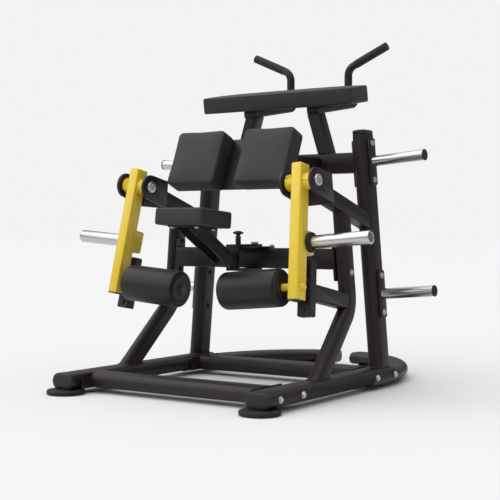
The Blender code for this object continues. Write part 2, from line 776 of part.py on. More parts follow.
# ---------------------------------------------------------------- crossbeams
def build_crossbeam(name, where, height, depth, width, flange_length, tube):
    """A level tube between the side frames with a leaning bolting flange at each end.

    The last size is the thickness of the side frame's tube that the flanges bolt to.
    """
    face = tube / 2 + GAP
    half = FRAME_X
    tube = swept(name, [(-half, 0.0), (half, 0.0)], rounded_outline(width, depth, 0.005, steps=2))
    moved(tube, 0.0, station(where), height)
    for side in SIDES.values():
        matrix = side_matrix(side)
        inner = matrix @ Vector((0.0, 0.0, -side * (face + FLANGE_THICKNESS / 2)))
        trimmed(tube, inner, side * matrix.col[2].to_3d())
        flange = plate("flange", rounded_outline(FLANGE_WIDTH, flange_length, 0.008, steps=3),
                       FLANGE_THICKNESS)
        lift = in_frame(height) - math.tan(LEAN) * face
        moved(flange, where, lift, -side * (face + FLANGE_THICKNESS / 2))
        joined(tube, place(flange, matrix))
    return finish_part(tube, name, STEEL_BLACK)


# ---------------------------------------------------------------- swing arms
def build_swing_arm(name, pivot, side):
    """The painted arm: square tube, cross hub, the horn's block and the roller's axle."""
    length = ARM_ABOVE + ARM_BELOW
    tube = box(name, (ARM_DEPTH, length, ARM_WIDTH), bevel=0.004, segments=2)
    moved(tube, -ARM_AHEAD, (ARM_ABOVE - ARM_BELOW) / 2, 0.0)
    hub = cylinder("hub", HUB_RADIUS, HUB_LENGTH, segments=36)
    block = box("block", (BOSS_DEPTH, BOSS_HEIGHT, ARM_WIDTH - 2 * GAP), bevel=0.008, segments=3)
    moved(block, BOSS_DEPTH / 2 - ARM_AHEAD, -HORN_DROP, 0.0)
    inner = ROLLER_START + ROLLER_LENGTH - 0.010
    outer = ARM_WIDTH / 2 + AXLE_HEAD
    axle = cylinder("axle", AXLE_RADIUS, inner + outer, segments=24, bevel=0.002)
    moved(axle, -ARM_AHEAD, -AXLE_DROP, outward(side, (outer - inner) / 2))
    joined(tube, hub, block, axle)
    cut(tube, cylinder("bore", PIVOT_BOLT_RADIUS + GAP, 0.2))
    return finish_part(tube, name, PAINT_YELLOW, pivot)


def build_pivot_bolt(name, frame):
    """The bolt through the clevis and the hub, with a round head at both ends."""
    reach = CLEVIS_GAP / 2 + CLEVIS_CHEEK + GAP
    bolt = cylinder(name, PIVOT_BOLT_RADIUS, 2 * reach + PIVOT_HEAD)
    heads = []
    for end in (-1, 1):
        head = cylinder("head", PIVOT_HEAD_RADIUS, PIVOT_HEAD, segments=32, bevel=0.0015)
        heads.append(moved(head, 0.0, 0.0, end * (reach + PIVOT_HEAD / 2)))
    joined(bolt, *heads)
    moved(bolt, PIVOT_STATION, in_frame(PIVOT_HEIGHT), 0.0)
    return finish_part(bolt, name, ZINC, frame)


def build_weight_horn(name, pivot, side):
    """Chromed horn for the weight plates, standing outwards from the arm's block."""
    face = ARM_WIDTH / 2 + GAP
    bar = cylinder(name, HORN_RADIUS, HORN_LENGTH, segments=32, bevel=0.002)
    moved(bar, HORN_BEHIND - ARM_AHEAD, -HORN_DROP, outward(side, face + HORN_LENGTH / 2))
    return finish_part(bar, name, CHROME, pivot)


def build_stop_disc(name, pivot, side):
    """Rubber collar round the horn that the weight plates rest against."""
    face = ARM_WIDTH / 2 + GAP
    disc = cylinder(name, STOP_DISC_RADIUS, STOP_DISC, segments=32, bevel=0.003)
    cut(disc, cylinder("bore", HORN_RADIUS + GAP, 0.1, segments=32))
    moved(disc, HORN_BEHIND - ARM_AHEAD, -HORN_DROP, outward(side, face + STOP_DISC / 2))
    return finish_part(disc, name, RUBBER, pivot)


def build_roller(name, pivot, side):
    """Foam roller with a blind bore that turns on the axle."""
    roller = cylinder(name, ROLLER_RADIUS, ROLLER_LENGTH, segments=36, bevel=0.006)
    bore = cylinder("bore", ROLLER_BORE, ROLLER_LENGTH, segments=24)
    cut(roller, moved(bore, 0.0, 0.0, outward(side, 0.009)))
    moved(roller, -ARM_AHEAD, -AXLE_DROP, outward(-side, ROLLER_START + ROLLER_LENGTH / 2))
    return finish_part(roller, name, FOAM, pivot)


def build_arm_assembly(label, side):
    """One swing arm with everything it carries, about its pivot."""
    pivot = empty(f"arm_pivot_{label}", arm_matrix(side))
    build_swing_arm(f"swing_arm_{label}", pivot, side)
    build_weight_horn(f"weight_horn_{label}", pivot, side)
    build_stop_disc(f"plate_stop_{label}", pivot, side)
    build_roller(f"foam_roller_{label}", pivot, side)
    build_pivot_bolt(f"pivot_bolt_{label}", bpy.data.objects[f"side_frame_{label}"])


# ---------------------------------------------------------------- thigh pads
def thigh_matrix():
    """Plane of the thigh pads' front faces: local Z out of the face, local Y up it."""
    up = Vector((0.0, math.sin(THIGH_LEAN), math.cos(THIGH_LEAN)))
    right = Vector((1.0, 0.0, 0.0))
    origin = Vector((0.0, station(THIGH_FACE_STATION), THIGH_FACE_HEIGHT))
    return matrix_from_axes(origin, right, up, right.cross(up))


def build_thigh_pad(name, side):
    """One upholstered thigh pad."""
    pad = box(name, (THIGH_WIDTH, THIGH_LENGTH, THIGH_THICKNESS), bevel=0.012, segments=2)
    moved(pad, side * THIGH_X, 0.0, -THIGH_THICKNESS / 2)
    return finish_part(place(pad, thigh_matrix()), name, LEATHER)


def build_thigh_bracket(name):
    """Plate behind both thigh pads on two arms from the upper crossbeam."""
    matrix = thigh_matrix()
    depth = THIGH_THICKNESS + GAP + THIGH_PLATE / 2
    back = plate(name, rounded_outline(THIGH_PLATE_WIDTH, THIGH_PLATE_LENGTH, 0.015, steps=3),
                 THIGH_PLATE)
    place(moved(back, 0.0, 0.0, -depth), matrix)
    plate_middle = matrix @ Vector((0.0, 0.0, -depth))
    rear = station(UPRIGHT_STATION) - UPPER_BEAM_WIDTH / 2 - GAP
    for side in SIDES.values():
        reach = rear - station(THIGH_FACE_STATION)
        arm = box("arm", (THIGH_ARM, reach, THIGH_ARM), bevel=0.004, segments=1)
        moved(arm, side * THIGH_X, rear - reach / 2, UPPER_BEAM_HEIGHT)
        trimmed(arm, plate_middle, matrix.col[2].to_3d())
        joined(back, arm)
    return finish_part(back, name, STEEL_BLACK)


# ---------------------------------------------------------------- forearm pad and handles
def forearm_matrix():
    """Frame on the pad's lower front edge: local Y back along its underside, Z through it."""
    back = Vector((0.0, math.cos(FOREARM_TILT), math.sin(FOREARM_TILT)))
    right = Vector((1.0, 0.0, 0.0))
    origin = Vector((0.0, station(FOREARM_FRONT), FOREARM_LOW))
    return matrix_from_axes(origin, right, back, right.cross(back))


def build_forearm_pad(name):
    """The long pad that the forearms lean on."""
    pad = box(name, (FOREARM_WIDTH, FOREARM_DEPTH, FOREARM_THICKNESS), bevel=0.008, segments=2)
    moved(pad, 0.0, FOREARM_DEPTH / 2, FOREARM_THICKNESS / 2)
    return finish_part(place(pad, forearm_matrix()), name, LEATHER)


def carrier_x():
    """Centre line of the handle carriers, over the tops of the leaning supports."""
    rise = FOREARM_LOW - CARRIER_DEPTH - UPPER_BEAM_HEIGHT - UPPER_BEAM_DEPTH / 2
    return SUPPORT_FOOT_X - rise * math.tan(SUPPORT_LEAN)


def build_handle(name, side):
    """Handle: a carrier tube under the pad with the bent grip bar welded on its rear end."""
    matrix = forearm_matrix()
    slope = math.cos(FOREARM_TILT)
    start = (CARRIER_FRONT - FOREARM_FRONT) / slope
    end = (CARRIER_REAR - FOREARM_FRONT) / slope
    carrier = box(name, (SUPPORT_TUBE, end - start, CARRIER_DEPTH), bevel=0.006, segments=2)
    moved(carrier, side * carrier_x(), (start + end) / 2, -CARRIER_DEPTH / 2 - GAP)
    trimmed(carrier, (0.0, end - 0.030, -CARRIER_DEPTH), (0.0, 0.5, -0.87))
    place(carrier, matrix)
    foot_height = (matrix @ Vector((0.0, end - 0.03, -CARRIER_DEPTH / 2))).z
    route = [(HANDLE_X, foot_height), (HANDLE_X, HANDLE_BEND_HEIGHT), (HANDLE_TIP_X, HANDLE_TIP_HEIGHT)]
    path = [(side * x, z) for x, z in bent_path(route, HANDLE_BEND)]
    bar = round_bar("bar", path, HANDLE_RADIUS)
    upright = Matrix.Translation((0.0, station(HANDLE_STATION), 0.0)) @ Matrix.Rotation(math.pi / 2, 4, "X")
    joined(carrier, place(bar, upright))
    return finish_part(carrier, name, STEEL_BLACK)


def build_pad_support(name, side):
    """Leaning square tube from the upper crossbeam to the underside of a handle carrier."""
    low = UPPER_BEAM_HEIGHT + UPPER_BEAM_DEPTH / 2 + GAP
    foot = Vector((side * SUPPORT_FOOT_X, low - 0.03))
    lean = Vector((-side * math.sin(SUPPORT_LEAN), math.cos(SUPPORT_LEAN)))
    foot.x += side * 0.03 * math.tan(SUPPORT_LEAN)
    head = foot + lean * 0.32
    tube = swept(name, [tuple(foot), tuple(head)],
                 rounded_outline(SUPPORT_TUBE * math.cos(SUPPORT_LEAN), SUPPORT_TUBE, 0.004, steps=2))
    stand = Matrix.Translation((0.0, station(UPRIGHT_STATION), 0.0)) @ Matrix.Rotation(math.pi / 2, 4, "X")
    place(tube, stand)
    trimmed(tube, (0.0, 0.0, low), (0.0, 0.0, -1.0))
    matrix = forearm_matrix()
    under = matrix @ Vector((0.0, 0.0, -CARRIER_DEPTH - 2 * GAP))
    trimmed(tube, under, matrix.col[2].to_3d())
    return finish_part(tube, name, STEEL_BLACK)


# ---------------------------------------------------------------- knee pad and its swivel
def build_index_plate(name):
    """Fixed plate on the mid crossbeam with one hole for each place of the pin."""
    beam_back = MID_BEAM_WIDTH / 2
    rounded = arc((0.0, 0.0), INDEX_RADIUS, math.radians(-128), math.radians(-52), 14)
    outline = rounded + [(rounded[-1][0], beam_back), (rounded[0][0], beam_back)]
    index = plate(name, outline, INDEX_PLATE)
    for angle in INDEX_ANGLES:
        turn = math.radians(angle) - KNEE_YAW
        hole = cylinder("hole", PIN_RADIUS + GAP, 0.05, segments=20)
        moved(hole, PIN_REACH * math.sin(turn), -PIN_REACH * math.cos(turn), 0.0)
        cut(index, hole)
    cut(index, cylinder("hole", SWIVEL_BOLT_RADIUS + GAP, 0.05, segments=24))
    height = MID_BEAM_HEIGHT + MID_BEAM_DEPTH / 2 + GAP + INDEX_PLATE / 2
    moved(index, 0.0, station(SWIVEL_STATION), height)
    return finish_part(index, name, STEEL_BLACK)


def swivel_levels():
    """Heights above mid beam of the swivel arm's upper plate and lower plate middles."""
    half = MID_BEAM_DEPTH / 2
    upper = half + INDEX_PLATE + 2 * GAP + SWIVEL_PLATE / 2
    lower = -half - GAP - SWIVEL_PLATE / 2
    return upper, lower


def build_knee_arm(name, pivot):
    """Swivel arm: two plates round the beam, a web, a short tube and two struts to the pad."""
    upper, lower = swivel_levels()
    front = -(SWIVEL_WEB_REACH + SWIVEL_PLATE)
    half = SWIVEL_PLATE_WIDTH / 2
    outline = arc((0.0, 0.0), half, 0.0, math.pi, 14) + [(-half, front), (half, front)]
    arm = moved(plate(name, outline, SWIVEL_PLATE), 0.0, 0.0, upper)
    low = moved(plate("low", outline, SWIVEL_PLATE), 0.0, 0.0, lower)
    web = box("web", (SWIVEL_PLATE_WIDTH, SWIVEL_PLATE, upper - lower + SWIVEL_PLATE))
    moved(web, 0.0, front + SWIVEL_PLATE / 2, (upper + lower) / 2)
    reach = SWIVEL_TUBE_END - SWIVEL_WEB_REACH
    tube = box("tube", (SWIVEL_TUBE, reach, SWIVEL_TUBE), bevel=0.004, segments=1)
    moved(tube, 0.0, -SWIVEL_WEB_REACH - reach / 2, -0.004)
    joined(arm, web, low, tube)
    top = knee_mount_height() - KNEE_PLATE / 2
    foot = Vector((-SWIVEL_TUBE_END + STRUT_DEPTH * 0.5, -0.004))
    head = Vector((-KNEE_REACH - 0.015, top))
    along = (head - foot).normalized()
    for end in (-1, 1):
        strut = swept("strut", [tuple(foot - along * 0.012), tuple(head + along * 0.03)],
                      rounded_outline(STRUT_DEPTH, STRUT_THICKNESS, 0.001, steps=1))
        place(strut, Matrix(((0, 0, 1, 0), (1, 0, 0, 0), (0, 1, 0, 0), (0, 0, 0, 1))))
        moved(strut, end * STRUT_SPACING / 2, 0.0, 0.0)
        under = knee_pad_matrix() @ Vector((0.0, 0.0, -KNEE_THICKNESS / 2 - GAP - KNEE_PLATE / 2))
        trimmed(strut, under, knee_pad_matrix().col[2].to_3d())
        joined(arm, strut)
    mount = plate("mount", rounded_outline(0.15, 0.12, 0.012, steps=3), KNEE_PLATE)
    moved(mount, 0.0, 0.0, -KNEE_THICKNESS / 2 - GAP - KNEE_PLATE / 2)
    joined(arm, place(mount, knee_pad_matrix()))
    barrel = cylinder("barrel", PIN_BARREL_RADIUS, PIN_BARREL, segments=24, bevel=0.0015)
    joined(arm, moved(barrel, 0.0, -PIN_REACH, upper + PIN_BARREL / 2))
    bores = [cylinder("bore", SWIVEL_BOLT_RADIUS + GAP, 0.3, segments=24)]
    bores.append(moved(cylinder("bore", PIN_RADIUS + GAP, 0.1, segments=20), 0.0, -PIN_REACH, upper + 0.045))
    cut(arm, *bores)
    return finish_part(arm, name, STEEL_BLACK, pivot)


def knee_pad_matrix():
    """Middle of the knee pad in the swivel's frame, its front edge tilted up."""
    middle = Matrix.Translation((0.0, -KNEE_REACH, KNEE_HEIGHT - MID_BEAM_HEIGHT))
    return middle @ Matrix.Rotation(-KNEE_TILT, 4, "X")


def knee_mount_height():
    """Height above mid beam of the knee pad's underside at its middle."""
    return KNEE_HEIGHT - MID_BEAM_HEIGHT - KNEE_THICKNESS / 2


def build_knee_pad(name, pivot):
    """Upholstered pad for the kneeling knee."""
    pad = box(name, (KNEE_WIDTH, KNEE_DEPTH, KNEE_THICKNESS), bevel=0.008, segments=2)
    return finish_part(place(pad, knee_pad_matrix()), name, LEATHER, pivot)


def build_swivel_bolt(name, pivot):
    """Bolt down through the swivel arm, the index plate and the crossbeam."""
    upper, lower = swivel_levels()
    top = upper + SWIVEL_PLATE / 2 + GAP
    bottom = lower - SWIVEL_PLATE / 2 - GAP
    bolt = cylinder(name, SWIVEL_BOLT_RADIUS, top - bottom + 0.010, segments=24)
    moved(bolt, 0.0, 0.0, (top + bottom) / 2)
    head = cylinder("head", 0.015, 0.009, segments=6)
    nut = cylinder("nut", 0.014, 0.012, segments=6)
    joined(bolt, moved(head, 0.0, 0.0, top + 0.0045), moved(nut, 0.0, 0.0, bottom - 0.006))
    return finish_part(bolt, name, ZINC, pivot)


def build_pull_pin(name, pivot):
    """Spring pin with a mushroom knob, drawn just clear of the index plate below it."""
    upper, _ = swivel_levels()
    tip = upper - SWIVEL_PLATE / 2
    knob_low = upper + PIN_BARREL + 0.004
    profile = [(0.0, 0.016), (0.010, 0.0155), (PIN_KNOB_RADIUS - 0.002, 0.011),
               (PIN_KNOB_RADIUS, 0.008), (PIN_KNOB_RADIUS - 0.003, 0.005), (0.0095, 0.002),
               (0.0085, 0.0), (0.0, 0.0)]
    knob = turned("knob", profile)
    moved(knob, 0.0, 0.0, knob_low)
    stem = cylinder(name, PIN_RADIUS, knob_low + 0.004 - tip, segments=20)
    moved(stem, 0.0, 0.0, (knob_low + 0.004 + tip) / 2)
    joined(stem, knob)
    moved(stem, 0.0, -PIN_REACH, 0.0)
    return finish_part(stem, name, PLASTIC, pivot)


def turned(name, profile, steps=28):
    """A solid turned about local Z from a profile of radius and height, top to bottom."""
    work = bmesh.new()
    verts = [work.verts.new((radius, 0.0, height)) for radius, height in profile]
    for first, second in zip(verts, verts[1:]):
        work.edges.new((first, second))
    mesh = bpy.data.meshes.new(name)
    work.to_mesh(mesh)
    work.free()
    obj = solid(name, mesh)
    screw = obj.modifiers.new("screw", "SCREW")
    screw.steps = steps
    screw.render_steps = steps
    screw.use_merge_vertices = True
    screw.merge_threshold = 0.0001
    obj.data = mesh_of(obj, name)
    obj.modifiers.clear()
    return obj


def build_knee_assembly():
    """The knee pad, its swivel arm and the pin that locks it."""
    build_index_plate("swivel_index_plate")
    pivot = empty("knee_swivel", swivel_matrix())
    build_knee_arm("knee_swivel_arm", pivot)
    build_knee_pad("knee_pad", pivot)
    build_swivel_bolt("swivel_bolt", pivot)
    build_pull_pin("pull_pin", pivot)


# ---------------------------------------------------------------- the whole machine
def build_base():
    """Rails, feet and cross members."""
    sweep = math.acos(REAR_FOOT_X / SHOE_ACROSS)
    rear_foot_y = station(RAIL_ARC_STATION) + SHOE_REACH * math.sin(sweep)
    for label, side in SIDES.items():
        build_rail(f"side_rail_{label}", side)
        build_foot(f"front_foot_{label}", side * RAIL_X, station(0.0), FOOT_RADIUS, FOOT_THICKNESS)
        build_foot(f"rear_foot_{label}", side * REAR_FOOT_X, rear_foot_y, REAR_FOOT_RADIUS,
                   FOOT_THICKNESS - SHOE_DROP)
    for name, where in CROSS_STATIONS.items():
        build_crossmember(name, where)


def build_upper_works():
    """Crossbeams and the padded pieces they carry."""
    build_crossbeam("mid_crossbeam", MID_BEAM_STATION, MID_BEAM_HEIGHT, MID_BEAM_DEPTH,
                    MID_BEAM_WIDTH, MID_FLANGE_LENGTH, LEG_THICKNESS)
    build_crossbeam("upper_crossbeam", UPRIGHT_STATION, UPPER_BEAM_HEIGHT, UPPER_BEAM_DEPTH,
                    UPPER_BEAM_WIDTH, UPPER_FLANGE_LENGTH, OVAL_THICKNESS)
    swivel_hole = cylinder("hole", SWIVEL_BOLT_RADIUS + GAP, 0.2, segments=24)
    moved(swivel_hole, 0.0, station(SWIVEL_STATION), MID_BEAM_HEIGHT)
    cut(bpy.data.objects["mid_crossbeam"], swivel_hole)
    build_thigh_bracket("thigh_pad_bracket")
    build_forearm_pad("forearm_pad")
    for label, side in SIDES.items():
        build_thigh_pad(f"thigh_pad_{label}", side)
        build_pad_support(f"pad_support_{label}", side)
        build_handle(f"handle_{label}", side)


def main():
    """Build every piece."""
    build_base()
    for label, side in SIDES.items():
        build_side_frame(label, side)
        build_arm_assembly(label, side)
    build_upper_works()
    build_knee_assembly()


clear_scene()
parts = make_collection(COLLECTION)
bench = make_collection("workbench")
main()
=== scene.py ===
"""Looks of a plate-loaded kneeling leg curl machine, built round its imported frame.

Frame: metres, +Z up, the user faces +Y. Stations along the length are measured from the centre
of the front feet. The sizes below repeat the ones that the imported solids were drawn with.
"""
import json
import logging
import math
from dataclasses import dataclass, field
from enum import Enum
from typing import Iterable, Sequence, Union

import bmesh
import bpy
from mathutils import Matrix, Vector
from mathutils.bvhtree import BVHTree

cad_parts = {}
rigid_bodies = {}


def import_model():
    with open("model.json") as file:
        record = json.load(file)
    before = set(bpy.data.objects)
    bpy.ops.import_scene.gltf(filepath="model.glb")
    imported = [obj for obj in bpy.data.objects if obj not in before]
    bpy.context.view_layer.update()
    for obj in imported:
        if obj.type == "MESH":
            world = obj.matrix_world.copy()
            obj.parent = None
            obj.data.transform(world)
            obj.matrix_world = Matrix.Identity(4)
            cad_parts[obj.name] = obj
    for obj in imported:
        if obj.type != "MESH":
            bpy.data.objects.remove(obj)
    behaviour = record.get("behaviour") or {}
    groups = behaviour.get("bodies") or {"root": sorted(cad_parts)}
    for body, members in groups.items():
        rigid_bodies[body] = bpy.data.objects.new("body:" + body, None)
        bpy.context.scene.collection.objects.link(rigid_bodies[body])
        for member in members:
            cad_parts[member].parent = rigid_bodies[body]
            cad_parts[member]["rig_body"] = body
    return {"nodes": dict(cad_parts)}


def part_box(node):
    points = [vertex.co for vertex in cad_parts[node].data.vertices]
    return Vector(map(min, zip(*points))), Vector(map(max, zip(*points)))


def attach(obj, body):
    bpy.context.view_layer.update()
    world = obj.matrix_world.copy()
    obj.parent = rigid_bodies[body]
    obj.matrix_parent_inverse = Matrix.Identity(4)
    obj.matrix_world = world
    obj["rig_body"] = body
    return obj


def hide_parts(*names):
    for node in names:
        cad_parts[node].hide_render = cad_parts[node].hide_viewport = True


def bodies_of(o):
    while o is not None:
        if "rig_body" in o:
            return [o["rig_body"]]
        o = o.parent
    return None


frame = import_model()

LOG = logging.getLogger("leg_curl")
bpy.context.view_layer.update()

Number = Union[float, int, "Wire"]
Colour = tuple[float, float, float]
Point = Sequence[float]

# Sizes shared by several assemblies, in metres
GAP = 0.0003
LEAN = math.radians(4.7)
FRAME_X = 0.4386
PIVOT_STATION = 0.348
PIVOT_HEIGHT = 0.7765
ARM_REST = math.radians(10.7)
ARM_WIDTH = 0.040
ARM_AHEAD = 0.008
UPRIGHT_STATION = 0.831
OVAL_THICKNESS = 0.060
FLANGE_THICKNESS = 0.008
RAIL_X = 0.430
RAIL_TOP = 0.0783
RAIL_MID = 0.0483
HORN_DROP = 0.2139
STORE_HEIGHTS = (0.8685, 0.3565)
STORE_START = OVAL_THICKNESS / 2 + FLANGE_THICKNESS + 2 * GAP
BOLT_SUNK = 0.0004
THIGH_LEAN = math.radians(23.1)
THIGH_FACE = (0.430, 0.8880)
KNEE_THICKNESS = 0.063

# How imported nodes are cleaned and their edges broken
MERGE_DISTANCE = 1e-5
FLAT_ANGLE = math.radians(0.6)
EDGE_ANGLE = math.radians(38)


class Side(Enum):
    """A side of the machine, by the sign of its X."""

    RIGHT = 1
    LEFT = -1

    @property
    def label(self) -> str:
        """The side's word in the names of its pieces."""
        return self.name.lower()

    @property
    def other(self) -> "Side":
        """The other side."""
        return Side(-self.value)


class Slot(Enum):
    """A material slot of the record."""

    BLACK_PAINT = "black_paint"
    YELLOW_PAINT = "yellow_paint"
    CHROME = "chrome"
    ZINC = "zinc_bolt"
    UPHOLSTERY = "black_upholstery"
    FOAM = "black_foam"
    RUBBER = "black_rubber"
    PLASTIC = "black_plastic"


# ------------------------------------------------------------------ node trees
class Wire:
    """An output of a node tree, on which arithmetic adds Math nodes."""

    def __init__(self, graph: "Graph", socket: bpy.types.NodeSocket) -> None:
        """Keep the tree and the socket."""
        self.graph = graph
        self.socket = socket

    def math(self, operation: str, first: Number, second: Number, third: Number = 0.0) -> "Wire":
        """One Math node.

        Args:
            operation: Blender's name of the operation.
            first: the first number or wire.
            second: the second number or wire.
            third: the third one, where the operation has it.

        Returns:
            The node's result.
        """
        return self.graph.node("ShaderNodeMath", {"operation": operation},
                               {0: first, 1: second, 2: third})

    def __add__(self, other: Number) -> "Wire":
        """This plus other."""
        return self.math("ADD", self, other)

    def __radd__(self, other: Number) -> "Wire":
        """Other plus this."""
        return self.math("ADD", other, self)

    def __sub__(self, other: Number) -> "Wire":
        """This minus other."""
        return self.math("SUBTRACT", self, other)

    def __rsub__(self, other: Number) -> "Wire":
        """Other minus this."""
        return self.math("SUBTRACT", other, self)

    def __mul__(self, other: Number) -> "Wire":
        """This times other."""
        return self.math("MULTIPLY", self, other)

    def __rmul__(self, other: Number) -> "Wire":
        """Other times this."""
        return self.math("MULTIPLY", other, self)

    def above(self, other: Number) -> "Wire":
        """1 where this is above other, and 0 elsewhere."""
        return self.math("GREATER_THAN", self, other)

    def near(self, other: Number, reach: Number) -> "Wire":
        """1 where this lies within reach of other, and 0 elsewhere."""
        return self.math("COMPARE", self, other, reach)


class Graph:
    """A node tree with one method that adds any node."""

    def __init__(self, tree: bpy.types.NodeTree) -> None:
        """Keep the tree."""
        self.tree = tree

    def node(self, kind: str, settings: dict | None = None, values: dict | None = None,
             output: int | str = 0) -> Wire:
        """Add a node.

        Args:
            kind: the node's type.
            settings: its properties, with a ramp's stops as pairs of place and grey or colour.
            values: numbers or wires of its inputs, by name or index.
            output: the output to return.

        Returns:
            That output as a wire.
        """
        made = self.tree.nodes.new(kind)
        for key, value in (settings or {}).items():
            if key == "stops":
                self.set_stops(made.color_ramp, value)
            else:
                setattr(made, key, value)
        for key, value in (values or {}).items():
            self.feed(made.inputs[key], value)
        return Wire(self, made.outputs[output])

    def feed(self, target: bpy.types.NodeSocket, value: object) -> None:
        """Link a wire to an input, or set the input to a constant."""
        if isinstance(value, Wire):
            self.tree.links.new(value.socket, target)
        else:
            target.default_value = value

    def set_stops(self, ramp: bpy.types.ColorRamp, stops: Sequence[tuple]) -> None:
        """Give a colour ramp its stops, each a place and a grey or a colour."""
        while len(ramp.elements) < len(stops):
            ramp.elements.new(0.5)
        for element, (place, tone) in zip(ramp.elements, stops):
            element.position = place
            shade = (tone,) * 3 if isinstance(tone, float) else tone
            element.color = (*shade, 1.0)

    def mixed(self, factor: Number, first: object, second: object) -> Wire:
        """A colour between two colours or wires."""
        ends = [value if isinstance(value, Wire) else (*value, 1.0) for value in (first, second)]
        return self.node("ShaderNodeMix", {"data_type": "RGBA"},
                         {0: factor, 6: ends[0], 7: ends[1]}, output=2)

    def noise(self, place: Wire, scale: float, detail: float = 2.0, rough: float = 0.5) -> Wire:
        """Fractal noise from 0 to 1 at a number of cells a metre."""
        return self.node("ShaderNodeTexNoise", None,
                         {"Vector": place, "Scale": scale, "Detail": detail, "Roughness": rough})

    def cells(self, place: Wire, scale: float, feature: str = "F1") -> Wire:
        """Distance to the nearest cell centre, or to its edge, at a number of cells a metre."""
        return self.node("ShaderNodeTexVoronoi", {"feature": feature},
                         {"Vector": place, "Scale": scale})

    def stretched(self, place: Wire, scale: Point) -> Wire:
        """Coordinates with each axis scaled by its own number."""
        return self.node("ShaderNodeMapping", None, {"Vector": place, "Scale": scale})

    def bump(self, height: Wire, depth: float, strength: float = 1.0) -> Wire:
        """A normal bent by a height field that is depth metres deep."""
        return self.node("ShaderNodeBump", None,
                         {"Strength": strength, "Distance": depth, "Height": height})

    def ramp(self, factor: Wire, stops: Sequence[tuple]) -> Wire:
        """A colour ramp's colour."""
        return self.node("ShaderNodeValToRGB", {"stops": stops}, {"Fac": factor})


# ------------------------------------------------------------------ finishes
@dataclass(frozen=True)
class Finish:
    """A surface finish: its base colour and roughness, and the slot it stands for."""

    name: str
    slot: Slot
    colour: Colour
    roughness: float

    def material(self) -> bpy.types.Material:
        """The finish's material, built the first time that it is asked for."""
        found = bpy.data.materials.get(self.name)
        if found is not None:
            return found
        made = bpy.data.materials.new(self.name)
        made.use_nodes = True
        made.diffuse_color = (*self.colour, 1.0)
        graph = Graph(made.node_tree)
        shader = made.node_tree.nodes["Principled BSDF"]
        place = graph.node("ShaderNodeTexCoord", output="Object")
        for name, value in self.surface(graph, place).items():
            graph.feed(shader.inputs[name], value)
        return made

    def surface(self, graph: Graph, place: Wire) -> dict[str, object]:
        """The shader's inputs.

        Args:
            graph: the material's tree.
            place: object coordinates in metres.

        Returns:
            A value or a wire for each input that isn't left as it is.
        """
        raise NotImplementedError

    def shade(self, factor: float) -> Colour:
        """The base colour made lighter or darker."""
        return tuple(channel * factor for channel in self.colour)


@dataclass(frozen=True)
class PowderCoat(Finish):
    """Sprayed and baked paint: fine orange peel, slow mottling, and bevelled edges painted lighter,
    partly as rubbed wear and partly as a painted highlight.
    """

    cloud_scale: float = 9.0
    smudge_scale: float = 34.0
    peel_scale: float = 620.0
    peel_depth: float = 0.00006
    mottle: float = 0.16
    gloss_spread: float = 0.16
    coat: float = 0.0
    coat_roughness: float = 0.12
    specular: float = 0.42
    # How much lighter the bevelled edges are painted: partly wear, partly a painted highlight.
    rubbed: float = 1.7
    rub_cover: float = 0.8

    def surface(self, graph: Graph, place: Wire) -> dict[str, object]:
        """Mottled colour, smudged gloss and orange peel; bevelled edges painted lighter, partly as
        wear and partly as a painted highlight.
        """
        clouds = graph.noise(place, self.cloud_scale, 4.0, 0.55)
        peel = graph.noise(place, self.peel_scale, 2.0, 0.45)
        smudge = graph.noise(place, self.smudge_scale, 5.0, 0.62)
        body = graph.mixed(clouds, self.shade(1.0 - self.mottle), self.shade(1.0 + self.mottle))
        # Painted highlight and wear: the marked bevel faces are made lighter in the base colour.
        rub = graph.node("ShaderNodeAttribute", {"attribute_name": "rub"}, output="Fac")
        edge_wear_highlight_amount = rub * (0.35 + 0.9 * smudge)
        body = graph.mixed(edge_wear_highlight_amount * self.rub_cover, body, self.shade(self.rubbed))
        return {
            "Base Color": body,
            "Roughness": self.roughness - 0.07 + self.gloss_spread * smudge - 0.06 * edge_wear_highlight_amount,
            "Specular IOR Level": self.specular,
            "Coat Weight": self.coat,
            "Coat Roughness": self.coat_roughness,
            "Normal": graph.bump(peel, self.peel_depth, 0.6),
        }


@dataclass(frozen=True)
class Plating(Finish):
    """Bright metal: polished chrome or dull zinc, with fine turning marks and smears."""

    smear_scale: float = 22.0
    tarnish_scale: float = 70.0
    grain_scale: float = 260.0
    grain_depth: float = 0.00001
    smear: float = 0.05
    tint: float = 0.10

    def surface(self, graph: Graph, place: Wire) -> dict[str, object]:
        """Smeared gloss, a little tarnish and fine marks."""
        smears = graph.noise(place, self.smear_scale, 5.0, 0.6)
        marks = graph.noise(place, self.grain_scale, 3.0, 0.6)
        tarnish = graph.noise(place, self.tarnish_scale, 3.0, 0.5)
        body = graph.mixed(tarnish, self.shade(1.0 - self.tint), self.shade(1.0 + self.tint * 0.3))
        return {
            "Base Color": body,
            "Metallic": 1.0,
            "Roughness": self.roughness + self.smear * smears + 0.03 * marks,
            "Normal": graph.bump(marks, self.grain_depth, 0.35),
        }


